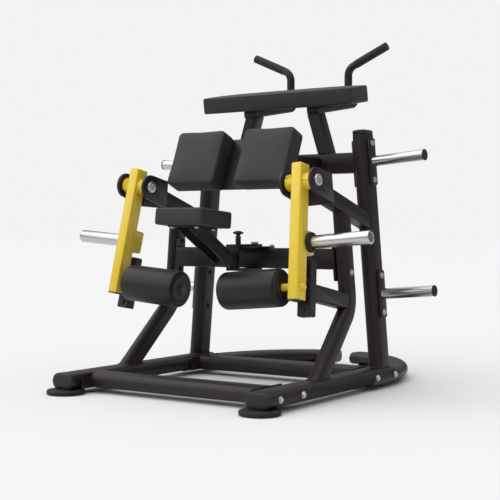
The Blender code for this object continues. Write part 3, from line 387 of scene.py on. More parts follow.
@dataclass(frozen=True)
class Leather(Finish):
    """Upholstery vinyl: pebbled grain with fine creases, and a soft sheen."""

    pebble_scale: float = 520.0
    pebble_depth: float = 0.00022
    crease_share: float = 0.36
    crease_sharpness: float = 9.0
    pore_scale: float = 2300.0
    warp_scale: float = 160.0
    handled_scale: float = 7.0
    # How dark the painted shade in the valleys between pebbles is.
    valley_shade: float = 0.62
    specular: float = 0.40
    sheen: float = 0.06
    sheen_roughness: float = 0.45

    def surface(self, graph: Graph, place: Wire) -> dict[str, object]:
        """Pebbles, creases between them and broad handling marks, with painted shade darkening the
        valleys between pebbles.
        """
        warp = graph.noise(place, self.warp_scale, 2.0, 0.5)
        pebbles = graph.cells(place, self.pebble_scale, "SMOOTH_F1")
        creases = graph.cells(place, self.pebble_scale * self.crease_share, "DISTANCE_TO_EDGE")
        handled = graph.noise(place, self.handled_scale, 4.0, 0.6)
        pores = graph.noise(place, self.pore_scale, 1.0, 0.4)
        groove = 1.0 - creases * self.crease_sharpness
        height = 1.0 - pebbles * 1.1 - 0.22 * groove + 0.10 * pores + 0.2 * warp
        # Painted shade: the valleys between pebbles are darkened in the base colour.
        painted_valley_shade_mask = graph.ramp(pebbles, [(0.25, 0.0), (0.75, 1.0)])
        body = graph.mixed(handled, self.shade(0.86), self.shade(1.14))
        body = graph.mixed(painted_valley_shade_mask * 0.45, body, self.shade(self.valley_shade))
        return {
            "Base Color": body,
            "Roughness": self.roughness - 0.06 + 0.10 * handled + 0.10 * pebbles,
            "Specular IOR Level": self.specular,
            "Sheen Weight": self.sheen,
            "Sheen Roughness": self.sheen_roughness,
            "Normal": graph.bump(height, self.pebble_depth, 0.55),
        }


@dataclass(frozen=True)
class SkinFoam(Finish):
    """Moulded foam with a closed skin: tiny open pores and a satin surface."""

    pore_scale: float = 950.0
    pore_depth: float = 0.00012
    pit_share: float = 0.4
    wave_scale: float = 12.0
    specular: float = 0.32

    def surface(self, graph: Graph, place: Wire) -> dict[str, object]:
        """Pores of two sizes over slow waves of gloss, with painted shade darkening the pores."""
        pores = graph.cells(place, self.pore_scale)
        pits = graph.noise(place, self.pore_scale * self.pit_share, 3.0, 0.6)
        waves = graph.noise(place, self.wave_scale, 3.0, 0.5)
        # Painted shade: the pores are darkened in the base colour; the same mask also roughens
        # them.
        pore_painted_shade_mask = 1.0 - graph.ramp(pores, [(0.10, 0.0), (0.34, 1.0)])
        body = graph.mixed(waves, self.shade(0.88), self.shade(1.14))
        body = graph.mixed(pore_painted_shade_mask * 0.5, body, self.shade(0.55))
        return {
            "Base Color": body,
            "Roughness": self.roughness - 0.04 + 0.12 * waves + 0.12 * pore_painted_shade_mask,
            "Specular IOR Level": self.specular,
            "Normal": graph.bump(0.6 * pits + 0.5 * pores, self.pore_depth, 0.5),
        }


@dataclass(frozen=True)
class Moulded(Finish):
    """Moulded rubber or plastic: a fine spark-eroded texture with pale scuffs."""

    texture_scale: float = 1400.0
    texture_depth: float = 0.00008
    scuff: float = 0.25
    scuff_scale: float = 46.0
    scuff_stretch: Point = (1.0, 1.0, 4.0)
    scuff_shade: float = 2.4
    specular: float = 0.38

    def surface(self, graph: Graph, place: Wire) -> dict[str, object]:
        """Texture, and scuffs that run a little along the floor."""
        texture = graph.noise(place, self.texture_scale, 2.0, 0.6)
        drawn = graph.stretched(place, self.scuff_stretch)
        streaks = graph.noise(drawn, self.scuff_scale, 5.0, 0.7)
        scuffed = graph.ramp(streaks, [(0.55, 0.0), (0.80, 1.0)])
        body = graph.mixed(texture, self.shade(0.82), self.shade(1.16))
        body = graph.mixed(scuffed * self.scuff, body, self.shade(self.scuff_shade))
        return {
            "Base Color": body,
            "Roughness": self.roughness - 0.05 + 0.08 * texture + 0.08 * scuffed,
            "Specular IOR Level": self.specular,
            "Normal": graph.bump(texture, self.texture_depth, 0.7),
        }


@dataclass(frozen=True)
class SewingThread(Finish):
    """Bonded thread with a twist."""

    twist_scale: float = 1500.0
    twist_depth: float = 0.0001

    def surface(self, graph: Graph, place: Wire) -> dict[str, object]:
        """A twisted ply seen as fine diagonal bands."""
        bands = graph.node("ShaderNodeTexWave", {"bands_direction": "DIAGONAL"},
                           {"Vector": place, "Scale": self.twist_scale, "Distortion": 1.0},
                           output="Fac")
        return {
            "Base Color": graph.mixed(bands, self.shade(0.7), self.shade(1.25)),
            "Roughness": self.roughness + 0.1 * bands,
            "Normal": graph.bump(bands, self.twist_depth, 0.5),
        }


@dataclass(frozen=True)
class StudioPaper(Finish):
    """Pale floor of the studio."""

    mottle_scale: float = 1.6
    specular: float = 0.1

    def surface(self, graph: Graph, place: Wire) -> dict[str, object]:
        """Almost even, with a faint mottle."""
        mottle = graph.noise(place, self.mottle_scale, 2.0, 0.5)
        return {
            "Base Color": graph.mixed(mottle, self.shade(0.995), self.shade(1.005)),
            "Roughness": self.roughness,
            "Specular IOR Level": self.specular,
        }


BLACK_COAT = PowderCoat("black powder coat", Slot.BLACK_PAINT, (0.0128, 0.0072, 0.0118), 0.40,
                        specular=0.34)
YELLOW_COAT = PowderCoat("yellow enamel", Slot.YELLOW_PAINT, (0.745, 0.528, 0.032), 0.38,
                         mottle=0.035, coat=0.25, rubbed=1.10)
CHROME = Plating("polished chrome", Slot.CHROME, (0.55, 0.538, 0.528), 0.19)
ZINC = Plating("zinc plate", Slot.ZINC, (0.66, 0.66, 0.67), 0.30, smear=0.16, tint=0.22,
               grain_scale=900.0, grain_depth=0.00003)
UPHOLSTERY = Leather("black vinyl", Slot.UPHOLSTERY, (0.0225, 0.022, 0.0222), 0.50,
                     specular=0.30)
FOAM = SkinFoam("black skin foam", Slot.FOAM, (0.009, 0.009, 0.009), 0.40)
RUBBER = Moulded("black rubber", Slot.RUBBER, (0.012, 0.012, 0.012), 0.66)
PLASTIC = Moulded("black plastic", Slot.PLASTIC, (0.014, 0.014, 0.015), 0.44,
                  texture_depth=0.00004, scuff=0.10)
THREAD = SewingThread("black thread", Slot.UPHOLSTERY, (0.030, 0.030, 0.031), 0.6)
PAPER = StudioPaper("studio paper", Slot.PLASTIC, (0.742, 0.742, 0.742), 0.9)


# ------------------------------------------------------------------ places
def station(value: float) -> float:
    """World Y of a station along the machine's length."""
    low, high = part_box("front_foot_right")
    return value + (low.y + high.y) / 2


def in_frame(height: float) -> float:
    """Distance up the leaning side frame that reaches a height above the floor."""
    return height / math.cos(LEAN)


def from_axes(origin: Vector, x_axis: Vector, y_axis: Vector) -> Matrix:
    """A rigid transform from its origin and its first two unit axes."""
    turn = Matrix((x_axis, y_axis, x_axis.cross(y_axis))).transposed().to_4x4()
    return Matrix.Translation(origin) @ turn


def side_matrix(side: Side) -> Matrix:
    """The side frame's plane: X along the machine, Y up the frame, Z to the right."""
    up = Vector((-side.value * math.sin(LEAN), 0.0, math.cos(LEAN)))
    origin = Vector((side.value * FRAME_X, station(0.0), 0.0))
    return from_axes(origin, Vector((0.0, 1.0, 0.0)), up)


def arm_matrix(side: Side) -> Matrix:
    """The hanging swing arm: origin on its pivot axis, local -Y down the arm."""
    place = Matrix.Translation((PIVOT_STATION, in_frame(PIVOT_HEIGHT), 0.0))
    return side_matrix(side) @ place @ Matrix.Rotation(-ARM_REST, 4, "Z")


def thigh_matrix() -> Matrix:
    """The thigh pads' plane: its origin between their faces, Y up them, Z out of them."""
    origin = Vector((0.0, station(THIGH_FACE[0]), THIGH_FACE[1]))
    up = Vector((0.0, math.sin(THIGH_LEAN), math.cos(THIGH_LEAN)))
    return from_axes(origin, Vector((1.0, 0.0, 0.0)), up)


def outwards(base: Matrix, side: Side, x: float, y: float, reach: float) -> Matrix:
    """A place whose local Z points away from the machine.

    Args:
        base: a side frame's or an arm's matrix.
        side: the side that it is on.
        x: first coordinate in that frame.
        y: second coordinate in that frame.
        reach: distance outwards from the frame's plane.

    Returns:
        The place's matrix.
    """
    turn = Matrix.Identity(4) if side is Side.RIGHT else Matrix.Rotation(math.pi, 4, "X")
    return base @ Matrix.Translation((x, y, side.value * reach)) @ turn


# ------------------------------------------------------------------ meshes
def make_object(name: str, mesh: bpy.types.Mesh) -> bpy.types.Object:
    """An object at the origin for a mesh, linked to the scene."""
    made = bpy.data.objects.new(name, mesh)
    bpy.context.scene.collection.objects.link(made)
    return made


def discard(obj: bpy.types.Object) -> None:
    """Remove a working object."""
    bpy.data.objects.remove(obj, do_unlink=True)


def mesh_from(name: str, work: bmesh.types.BMesh) -> bpy.types.Mesh:
    """Turn a bmesh into a mesh with its faces outwards, and free it."""
    bmesh.ops.recalc_face_normals(work, faces=work.faces)
    mesh = bpy.data.meshes.new(name)
    work.to_mesh(mesh)
    work.free()
    return mesh


def smooth(mesh: bpy.types.Mesh, degrees: float = 32.0) -> bpy.types.Mesh:
    """Shade a mesh smooth, apart from edges sharper than an angle."""
    mesh.shade_smooth()
    mesh.set_sharp_from_angle(angle=math.radians(degrees))
    return mesh


def evaluated(obj: bpy.types.Object) -> bpy.types.Mesh:
    """A plain mesh of what an object's modifiers make."""
    graph = bpy.context.evaluated_depsgraph_get()
    graph.update()
    return bpy.data.meshes.new_from_object(obj.evaluated_get(graph), depsgraph=graph)


def loft(name: str, rings: Sequence[Sequence[Point]], annular: bool = False) -> bpy.types.Mesh:
    """A closed skin over rings of the same number of points; a ring of one point is a pole.

    Args:
        name: the mesh's name.
        rings: the rings in order, each a closed loop.
        annular: True if the last ring joins the first, as round a bore.

    Returns:
        The mesh, with both ends filled unless it is annular.
    """
    work = bmesh.new()
    loops = [[work.verts.new(point) for point in ring] for ring in rings]
    for low, high in zip(loops, loops[1:] + loops[:1] if annular else loops[1:]):
        count = max(len(low), len(high))
        for step in range(count):
            after = (step + 1) % count
            corners = [low[step % len(low)], low[after % len(low)],
                       high[after % len(high)], high[step % len(high)]]
            work.faces.new(list(dict.fromkeys(corners)))
    for end in () if annular else (loops[0], loops[-1]):
        if len(end) > 2:
            work.faces.new(end)
    return mesh_from(name, work)


def ring_of(radius: float, height: float, sides: int, steps: int) -> list[Point]:
    """One ring of a turned piece: round, or with flat sides when sides is not 0."""
    if radius == 0.0:
        return [(0.0, 0.0, height)]
    points = []
    for step in range(steps):
        angle = 2 * math.pi * step / steps
        reach = radius
        if sides:
            half = math.pi / sides
            reach = radius * math.cos(half) / math.cos(angle % (2 * half) - half)
        points.append((reach * math.cos(angle), reach * math.sin(angle), height))
    return points


def turned(name: str, profile: Sequence[Point], steps: int = 72,
           annular: bool = False) -> bpy.types.Mesh:
    """A piece turned about local Z.

    Args:
        name: the mesh's name.
        profile: radius, height and, where a ring is not round, its number of sides.
        steps: points round each ring.
        annular: True if the profile is a loop round a bore.

    Returns:
        The closed, smooth mesh.
    """
    rings = []
    for entry in profile:
        radius, height, sides = (*entry, 0)[:3]
        rings.append(ring_of(radius, height, sides, steps))
    return smooth(loft(name, rings, annular))


def rounded_rectangle(width: float, height: float, radius: float, steps: int = 8) -> list[Point]:
    """A rectangle with round corners about the origin, counter-clockwise."""
    across, up = width / 2 - radius, height / 2 - radius
    points = []
    for quarter, (x, y) in enumerate(((across, up), (-across, up), (-across, -up), (across, -up))):
        for step in range(steps + 1):
            angle = math.pi / 2 * (quarter + step / steps)
            points.append((x + radius * math.cos(angle), y + radius * math.sin(angle)))
    return points


def outline_ring(width: float, height: float, radius: float, level: float,
                 steps: int = 8) -> list[Point]:
    """A rounded rectangle lifted to a level along local Z."""
    flat = rounded_rectangle(width, height, max(radius, 0.0004), steps)
    return [(x, y, level) for x, y in flat]


@dataclass
class Line3D:
    """Points with an axis at each, as a mesh of edges that a node tree follows."""

    points: list[Vector]
    axes: list[Vector]
    sizes: list[float] = field(default_factory=list)
    closed: bool = False
    joined: bool = True

    def mesh(self, name: str) -> bpy.types.Mesh:
        """The edge mesh, with each point's axis and size as attributes."""
        made = bpy.data.meshes.new(name)
        count = len(self.points)
        edges = [(i, i + 1) for i in range(count - 1)] if self.joined else []
        if self.closed:
            edges.append((count - 1, 0))
        made.from_pydata([tuple(point) for point in self.points], edges, [])
        axis = made.attributes.new("axis", "FLOAT_VECTOR", "POINT")
        axis.data.foreach_set("vector", [value for axis in self.axes for value in axis])
        size = made.attributes.new("size", "FLOAT", "POINT")
        size.data.foreach_set("value", self.sizes or [1.0] * count)
        return made


# ------------------------------------------------------------------ geometry node tools
class Maker:
    """A geometry node tree that turns a line or points into repeated or swept pieces."""

    title = "maker"
    sizes: dict[str, float] = {}

    def __init__(self) -> None:
        """Build the tree with its named inputs."""
        tree = bpy.data.node_groups.new(self.title, "GeometryNodeTree")
        self.graph = Graph(tree)
        self.inputs: dict[str, str] = {}
        tree.interface.new_socket("Geometry", in_out="OUTPUT", socket_type="NodeSocketGeometry")
        self.add_input("Geometry", "NodeSocketGeometry")
        for name in self.sizes:
            self.add_input(name, "NodeSocketFloat")
        self.add_input("Material", "NodeSocketMaterial")
        self.group = tree.nodes.new("NodeGroupInput")
        shape = self.shape(self.wire("Geometry"))
        shape = self.graph.node("GeometryNodeRealizeInstances", None, {"Geometry": shape})
        shape = self.graph.node("GeometryNodeSetMaterial", None,
                                {"Geometry": shape, "Material": self.wire("Material")})
        out = tree.nodes.new("NodeGroupOutput")
        tree.links.new(shape.socket, out.inputs[0])

    def add_input(self, name: str, kind: str) -> None:
        """Add a named input and keep its identifier."""
        made = self.graph.tree.interface.new_socket(name, in_out="INPUT", socket_type=kind)
        self.inputs[name] = made.identifier

    def wire(self, name: str) -> Wire:
        """The wire of a named input."""
        return Wire(self.graph, self.group.outputs[name])

    def attribute(self, name: str, kind: str) -> Wire:
        """The wire of an attribute that the line carries."""
        return self.graph.node("GeometryNodeInputNamedAttribute", {"data_type": kind},
                               {"Name": name})

    def shape(self, source: Wire) -> Wire:
        """The tree's own part, from the incoming line to the finished shape."""
        raise NotImplementedError

    def make(self, name: str, line: Line3D, finish: Finish, **sizes: float) -> bpy.types.Object:
        """Run the tree on a line.

        Args:
            name: the new piece's name.
            line: the points or line to follow.
            finish: the finish of the result.
            sizes: values of the tree's inputs, with spaces as underscores.

        Returns:
            The result as a plain mesh object.
        """
        guide = make_object(f"{name}_guide", line.mesh(f"{name}_guide"))
        modifier = guide.modifiers.new(self.title, "NODES")
        modifier.node_group = self.graph.tree
        for key, value in {**self.sizes, **sizes}.items():
            modifier[self.inputs[key]] = float(value)
        modifier[self.inputs["Material"]] = finish.material()
        mesh = evaluated(guide)
        discard(guide)
        work = bmesh.new()
        work.from_mesh(mesh)
        bmesh.ops.recalc_face_normals(work, faces=work.faces)
        work.to_mesh(mesh)
        work.free()
        mesh.name = name
        return make_object(name, smooth(mesh))


class BoltMaker(Maker):
    """A hexagon head on a washer at every point, each turned by its own angle."""

    title = "hex bolts"
    sizes = {"Head": 0.62, "Washer": 1.32, "WasherHeight": 0.16, "Seed": 7.0}

    def shape(self, source: Wire) -> Wire:
        """Head, washer and their places."""
        graph, head, thick = self.graph, self.wire("Head"), self.wire("WasherHeight")
        hexagon = graph.node("GeometryNodeMeshCylinder", {"fill_type": "NGON"},
                             {"Vertices": 6, "Side Segments": 2, "Radius": 1.0, "Depth": head})
        place = graph.node("GeometryNodeInputPosition")
        level = graph.node("ShaderNodeSeparateXYZ", None, {0: place}, output=2)
        pull = 1.0 - 0.13 * level.above(head * 0.4)
        wide = graph.node("ShaderNodeCombineXYZ", None, {0: pull, 1: pull, 2: 1.0})
        drawn = graph.node("ShaderNodeVectorMath", {"operation": "MULTIPLY"}, {0: place, 1: wide})
        lift = graph.node("ShaderNodeCombineXYZ", None,
                          {2: level.near(0.0, head * 0.1) * head * 0.36})
        hexagon = graph.node("GeometryNodeSetPosition", None,
                             {"Geometry": hexagon, "Position": drawn, "Offset": lift})
        rise = graph.node("ShaderNodeCombineXYZ", None, {2: head * 0.5 + thick * 0.92})
        hexagon = graph.node("GeometryNodeTransform", None,
                             {"Geometry": hexagon, "Translation": rise})
        washer = graph.node("GeometryNodeMeshCylinder", {"fill_type": "NGON"},
                            {"Vertices": 24, "Radius": self.wire("Washer"), "Depth": thick})
        washer = graph.node("GeometryNodeTransform", None, {
            "Geometry": washer,
            "Translation": graph.node("ShaderNodeCombineXYZ", None, {2: thick * 0.5})})
        both = graph.node("GeometryNodeJoinGeometry", None, {0: hexagon})
        graph.tree.links.new(washer.socket, both.socket.node.inputs[0])
        facing = graph.node("FunctionNodeAlignRotationToVector", {"axis": "Z"},
                            {"Vector": self.attribute("axis", "FLOAT_VECTOR")})
        angle = graph.node("FunctionNodeRandomValue", {"data_type": "FLOAT"},
                           {2: 0.0, 3: math.pi / 3, "Seed": self.wire("Seed")}, output=1)
        spin = graph.node("ShaderNodeCombineXYZ", None, {2: angle})
        turned_rotation = graph.node("FunctionNodeRotateRotation", {"rotation_space": "LOCAL"},
                                     {0: facing, 1: spin})
        return graph.node("GeometryNodeInstanceOnPoints", None, {
            "Points": source, "Instance": both, "Rotation": turned_rotation,
            "Scale": self.attribute("size", "FLOAT")})


class BeadMaker(Maker):
    """Small round-ended beads along a line: stitches, or the ripples of a weld."""

    title = "bead row"
    sizes = {"Pitch": 0.005, "Length": 0.004, "Width": 0.001, "Height": 0.001}

    def shape(self, source: Wire) -> Wire:
        """A bead at every pitch, lying along the line."""
        graph = self.graph
        curve = graph.node("GeometryNodeMeshToCurve", None, {"Mesh": source})
        curve = graph.node("GeometryNodeResampleCurve", {"mode": "LENGTH"},
                           {"Curve": curve, "Length": self.wire("Pitch")})
        bead = graph.node("GeometryNodeMeshUVSphere", None,
                          {"Segments": 8, "Rings": 5, "Radius": 0.5})
        size = graph.node("ShaderNodeCombineXYZ", None, {
            0: self.wire("Length"), 1: self.wire("Width"), 2: self.wire("Height")})
        bead = graph.node("GeometryNodeTransform", None, {"Geometry": bead, "Scale": size})
        facing = graph.node("FunctionNodeAlignRotationToVector", {"axis": "Z"},
                            {"Vector": self.attribute("axis", "FLOAT_VECTOR")})
        lying = graph.node("FunctionNodeAlignRotationToVector",
                           {"axis": "X", "pivot_axis": "Z"},
                           {"Rotation": facing,
                            "Vector": graph.node("GeometryNodeInputTangent")})
        return graph.node("GeometryNodeInstanceOnPoints", None, {
            "Points": curve, "Instance": bead, "Rotation": lying})


class PipeMaker(Maker):
    """A round tube along a line: piping, grips and rings."""

    title = "pipe run"
    sizes = {"Radius": 0.002, "Sides": 16.0}

    def shape(self, source: Wire) -> Wire:
        """The line swept with a circle; open lines get filled ends."""
        graph = self.graph
        curve = graph.node("GeometryNodeMeshToCurve", None, {"Mesh": source})
        circle = graph.node("GeometryNodeCurvePrimitiveCircle", {"mode": "RADIUS"},
                            {"Resolution": self.wire("Sides"), "Radius": self.wire("Radius")})
        curve = graph.node("GeometryNodeSetCurveRadius", None,
                           {"Curve": curve, "Radius": self.attribute("size", "FLOAT")})
        return graph.node("GeometryNodeCurveToMesh", None,
                          {"Curve": curve, "Profile Curve": circle, "Fill Caps": True})


@dataclass
class Tools:
    """The node tools, built once."""

    bolts: BoltMaker = field(default_factory=BoltMaker)
    beads: BeadMaker = field(default_factory=BeadMaker)
    pipes: PipeMaker = field(default_factory=PipeMaker)


# ------------------------------------------------------------------ adopting pieces
def adopt(obj: bpy.types.Object, body: str, finish: Finish,
          nodes: Iterable[str] = ()) -> bpy.types.Object:
    """Dress a finished piece and fix it to its body.

    Args:
        obj: the piece, its place in its mesh.
        body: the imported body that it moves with.
        finish: its finish.
        nodes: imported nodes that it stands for.

    Returns:
        The same piece.
    """
    obj.data.materials.clear()
    obj.data.materials.append(finish.material())
    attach(obj, body)
    stood_for = tuple(nodes)
    if stood_for:
        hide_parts(*stood_for)
    LOG.info("%s on %s, %s, %d faces", obj.name, body, finish.name, len(obj.data.polygons))
    return obj


def body_of(node: str) -> str:
    """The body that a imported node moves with."""
    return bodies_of(frame["nodes"][node])[0]


def welded_copy(node: str) -> bmesh.types.BMesh:
    """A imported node's shape with its loose triangles merged and flat faces joined."""
    work = bmesh.new()
    work.from_mesh(frame["nodes"][node].data)
    bmesh.ops.remove_doubles(work, verts=work.verts, dist=MERGE_DISTANCE)
    bmesh.ops.dissolve_limit(work, angle_limit=FLAT_ANGLE, verts=work.verts,
                             edges=work.edges, delimit={"NORMAL"})
    return work


def refined(node: str, finish: Finish, rounding: float = 0.0) -> bpy.types.Object:
    """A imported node's shape as a smooth-shaded piece with broken edges.

    Args:
        node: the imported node, which the piece stands for.
        finish: the piece's finish.
        rounding: width of the broken edges, or 0 to leave them.

    Returns:
        The finished piece.
    """
    mesh = mesh_from(node, welded_copy(node))
    obj = make_object(f"{node}_finish", mesh)
    for _ in ("faces", "broken edges"):
        mesh.materials.append(finish.material())
    if rounding:
        bevel = obj.modifiers.new("broken edges", "BEVEL")
        bevel.width = rounding
        bevel.segments = 2
        bevel.limit_method = "ANGLE"
        bevel.angle_limit = EDGE_ANGLE
        bevel.material = 1
        mesh = evaluated(obj)
        obj.modifiers.clear()
        obj.data = mesh
    # Marks the bevel faces; the paint makes them lighter, partly as rubbed wear and partly as a
    # painted edge highlight.
    rub = mesh.attributes.new("rub", "FLOAT", "FACE")
    rub.data.foreach_set("value", [float(face.material_index) for face in mesh.polygons])
    for face in mesh.polygons:
        face.material_index = 0
    smooth(mesh, 34.0)
    return adopt(obj, body_of(node), finish, [node])


def placed(name: str, mesh: bpy.types.Mesh, matrix: Matrix) -> bpy.types.Object:
    """An object whose mesh is moved to its place in the machine's frame."""
    mesh.transform(matrix)
    return make_object(name, mesh)


@dataclass(frozen=True)
class Bolt:
    """One bolt head or nut: where it sits, which way it points, its radius and its finish."""

    place: Vector
    axis: Vector
    size: float
    finish: Finish = ZINC


# ------------------------------------------------------------------ base
@dataclass
class Base:
    """The two rails with their nose caps, the cross members and the rubber feet."""

    rail_width: float = 0.100
    rail_height: float = 0.060
    rail_front: float = -0.018
    nose_reach: float = 0.013
    nose_proud: float = 0.0007
    shoe_out: float = 0.006
    cross_stations: tuple[float, float] = (0.120, 0.790)
    bolt_reach: float = 0.072
    bolt_size: float = 0.0092
    flange_inner: float = 0.3717

    def build(self, tools: Tools) -> None:
        """Build and dress every piece of the base."""
        for side in Side:
            refined(f"side_rail_{side.label}", BLACK_COAT)
            self.build_nose(side)
            for end in ("front", "rear"):
                self.build_foot(f"{end}_foot_{side.label}")
        for name in ("front_crossmember", "rear_crossmember"):
            refined(name, BLACK_COAT, 0.0012)

    def build_nose(self, side: Side) -> None:
        """The plug pressed over a rail's front end."""
        rings = []
        steps = ((-self.nose_reach, -0.001), (-self.nose_reach, self.nose_proud),
                 (-0.004, self.nose_proud), (-0.001, -0.0006), (0.0012, -0.0030),
                 (0.0024, -0.0070), (0.0028, -0.0140))
        for level, proud in steps:
            rings.append(outline_ring(self.rail_width + 2 * proud, self.rail_height + 2 * proud,
                                      self.rail_height / 2 + proud - 1e-4, level, steps=12))
        origin = Vector((side.value * RAIL_X, station(self.rail_front), RAIL_MID))
        matrix = from_axes(origin, Vector((1, 0, 0)), Vector((0, 0, 1)))
        nose = placed(f"rail_nose_cap_{side.label}", smooth(loft("nose", rings), 40), matrix)
        adopt(nose, "frame", PLASTIC)

    def build_foot(self, node: str) -> None:
        """A rubber disc with a rolled rim and a groove."""
        low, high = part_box(node)
        radius, thick = (high.x - low.x) / 2, high.z
        profile = [(0.0, 0.0), (radius - 0.008, 0.0), (radius - 0.003, 0.0012), (radius, 0.0045),
                   (radius, 0.0075), (radius - 0.0012, 0.0083), (radius - 0.0012, 0.0091),
                   (radius, 0.0099), (radius - 0.0002, thick - 0.0040),
                   (radius - 0.0020, thick - 0.0012), (radius - 0.0055, thick), (0.0, thick)]
        place = Matrix.Translation(((low.x + high.x) / 2, (low.y + high.y) / 2, 0.0))
        adopt(placed(f"{node}_finish", turned(node, profile, 96), place), "frame", RUBBER, [node])

    def bolts(self) -> list[Bolt]:
        """Places, axes and sizes of the bolts through the rails."""
        found = []
        for side in Side:
            out = Vector((side.value, 0.0, 0.0))
            for where, proud in zip(self.cross_stations, (0.0, self.shoe_out)):
                for end in (-1, 1):
                    y = station(where + end * self.bolt_reach)
                    outer = side.value * (RAIL_X + self.rail_width / 2 + proud - BOLT_SUNK)
                    found.append(Bolt(Vector((outer, y, RAIL_MID)), out, self.bolt_size))
                    inner = Vector((side.value * self.flange_inner, y, RAIL_MID))
                    found.append(Bolt(inner, -out, self.bolt_size, BLACK_COAT))
        return found


# ------------------------------------------------------------------ side frames and beams
@dataclass
class Weldments:
    """Everything of painted tube and plate between the base and the pads."""

    leg_station: float = 0.620
    leg_thickness: float = 0.050
    mid_heights: tuple[float, float] = (0.446, 0.562)
    store_bolt: float = 0.071
    bolt_size: float = 0.0088
    post_bolt: tuple[float, float] = (0.038, -0.452)
    post_bolt_size: float = 0.0070
    leg_foot: float = 0.3705
    foot_lengths: tuple[float, float] = (0.100, 0.116)
    paired: tuple[tuple[str, float], ...] = (
        ("rear_upright", 0.0), ("front_leg", 0.0), ("pivot_beam", 0.0012),
        ("pivot_clevis", 0.0010), ("arm_stop", 0.0), ("pad_support", 0.0),
        ("storage_plate_upper", 0.0009), ("storage_plate_lower", 0.0009))
    single: tuple[tuple[str, float], ...] = (
        ("mid_crossbeam", 0.0), ("upper_crossbeam", 0.0), ("thigh_pad_bracket", 0.0008))

    def build(self, tools: Tools) -> None:
        """Dress the painted steel, the caps and the bumpers."""
        for side in Side:
            for stem, rounding in self.paired:
                refined(f"{stem}_{side.label}", BLACK_COAT, rounding)
            refined(f"upright_cap_{side.label}", PLASTIC)
            refined(f"arm_bumper_{side.label}", RUBBER)
            self.build_pivot_bolt(side)
            self.build_welds(side, tools)
        for name, rounding in self.single:
            refined(name, BLACK_COAT, rounding)

    def build_pivot_bolt(self, side: Side) -> None:
        """The pivot's bolt: a dished round head with a hexagon socket at both ends."""
        half = [(0.0, 0.0685), (0.0098, 0.0685, 6), (0.0100, 0.0742, 6), (0.0122, 0.0746),
                (0.0128, 0.0752), (0.0180, 0.0752), (0.0205, 0.0744), (0.0215, 0.0726),
                (0.0215, 0.0669), (0.0100, 0.0669)]
        lower = [(entry[0], -entry[1], *entry[2:]) for entry in half]
        mesh = turned("pivot bolt", lower + half[::-1], 72)
        place = side_matrix(side) @ Matrix.Translation((PIVOT_STATION, in_frame(PIVOT_HEIGHT), 0))
        node = f"pivot_bolt_{side.label}"
        adopt(placed(f"{node}_finish", mesh, place), "frame", ZINC, [node])

    def build_welds(self, side: Side, tools: Tools) -> None:
        """The weld that runs round the foot of the rear upright and of the front leg."""
        x = side.value * (FRAME_X - math.tan(LEAN) * RAIL_TOP)
        upright, leg = self.foot_lengths
        for name, where, length, across in (
                ("upright", UPRIGHT_STATION, upright, OVAL_THICKNESS),
                ("leg", self.leg_foot, leg, self.leg_thickness)):
            flat = rounded_rectangle(across, length, across / 2 - 1e-4, 10)
            points = [Vector((x + u, station(where) + v, RAIL_TOP - 0.0002)) for u, v in flat]
            axes = [Vector((u, v, 0.05)).normalized() for u, v in flat]
            line = Line3D(points, axes, closed=True)
            bead = tools.beads.make(f"{name}_weld_{side.label}", line, BLACK_COAT,
                                    Pitch=0.0030, Length=0.0062, Width=0.0070, Height=0.0058)
            adopt(bead, "frame", BLACK_COAT)

    def bolts(self) -> list[Bolt]:
        """Places, axes and sizes of the bolts through the side frames."""
        found = []
        for side in Side:
            base = side_matrix(side)
            out = (side.value * base.col[2].to_3d()).normalized()
            spots = []
            for height in STORE_HEIGHTS:
                face = OVAL_THICKNESS / 2 + FLANGE_THICKNESS + GAP
                for end in (-1, 1):
                    up = in_frame(height) + end * self.store_bolt
                    spots.append((UPRIGHT_STATION, up, face, 1))
                    inner = face if height == STORE_HEIGHTS[0] else OVAL_THICKNESS / 2
                    spots.append((UPRIGHT_STATION, up, inner, -1))
            for height in self.mid_heights:
                half = self.leg_thickness / 2
                spots.append((self.leg_station, in_frame(height), half, 1))
                spots.append((self.leg_station, in_frame(height), half + FLANGE_THICKNESS, -1))
            for x, y, face, way in spots:
                point = base @ Vector((x, y, side.value * way * face))
                finish = ZINC if way == 1 else BLACK_COAT
                found.append(Bolt(point, way * out, self.bolt_size, finish))
            arm = arm_matrix(side)
            front = -arm.col[0].to_3d()
            post = arm @ Vector((*self.post_bolt, 0.0))
            found.append(Bolt(post, front, self.post_bolt_size, BLACK_COAT))
        return found


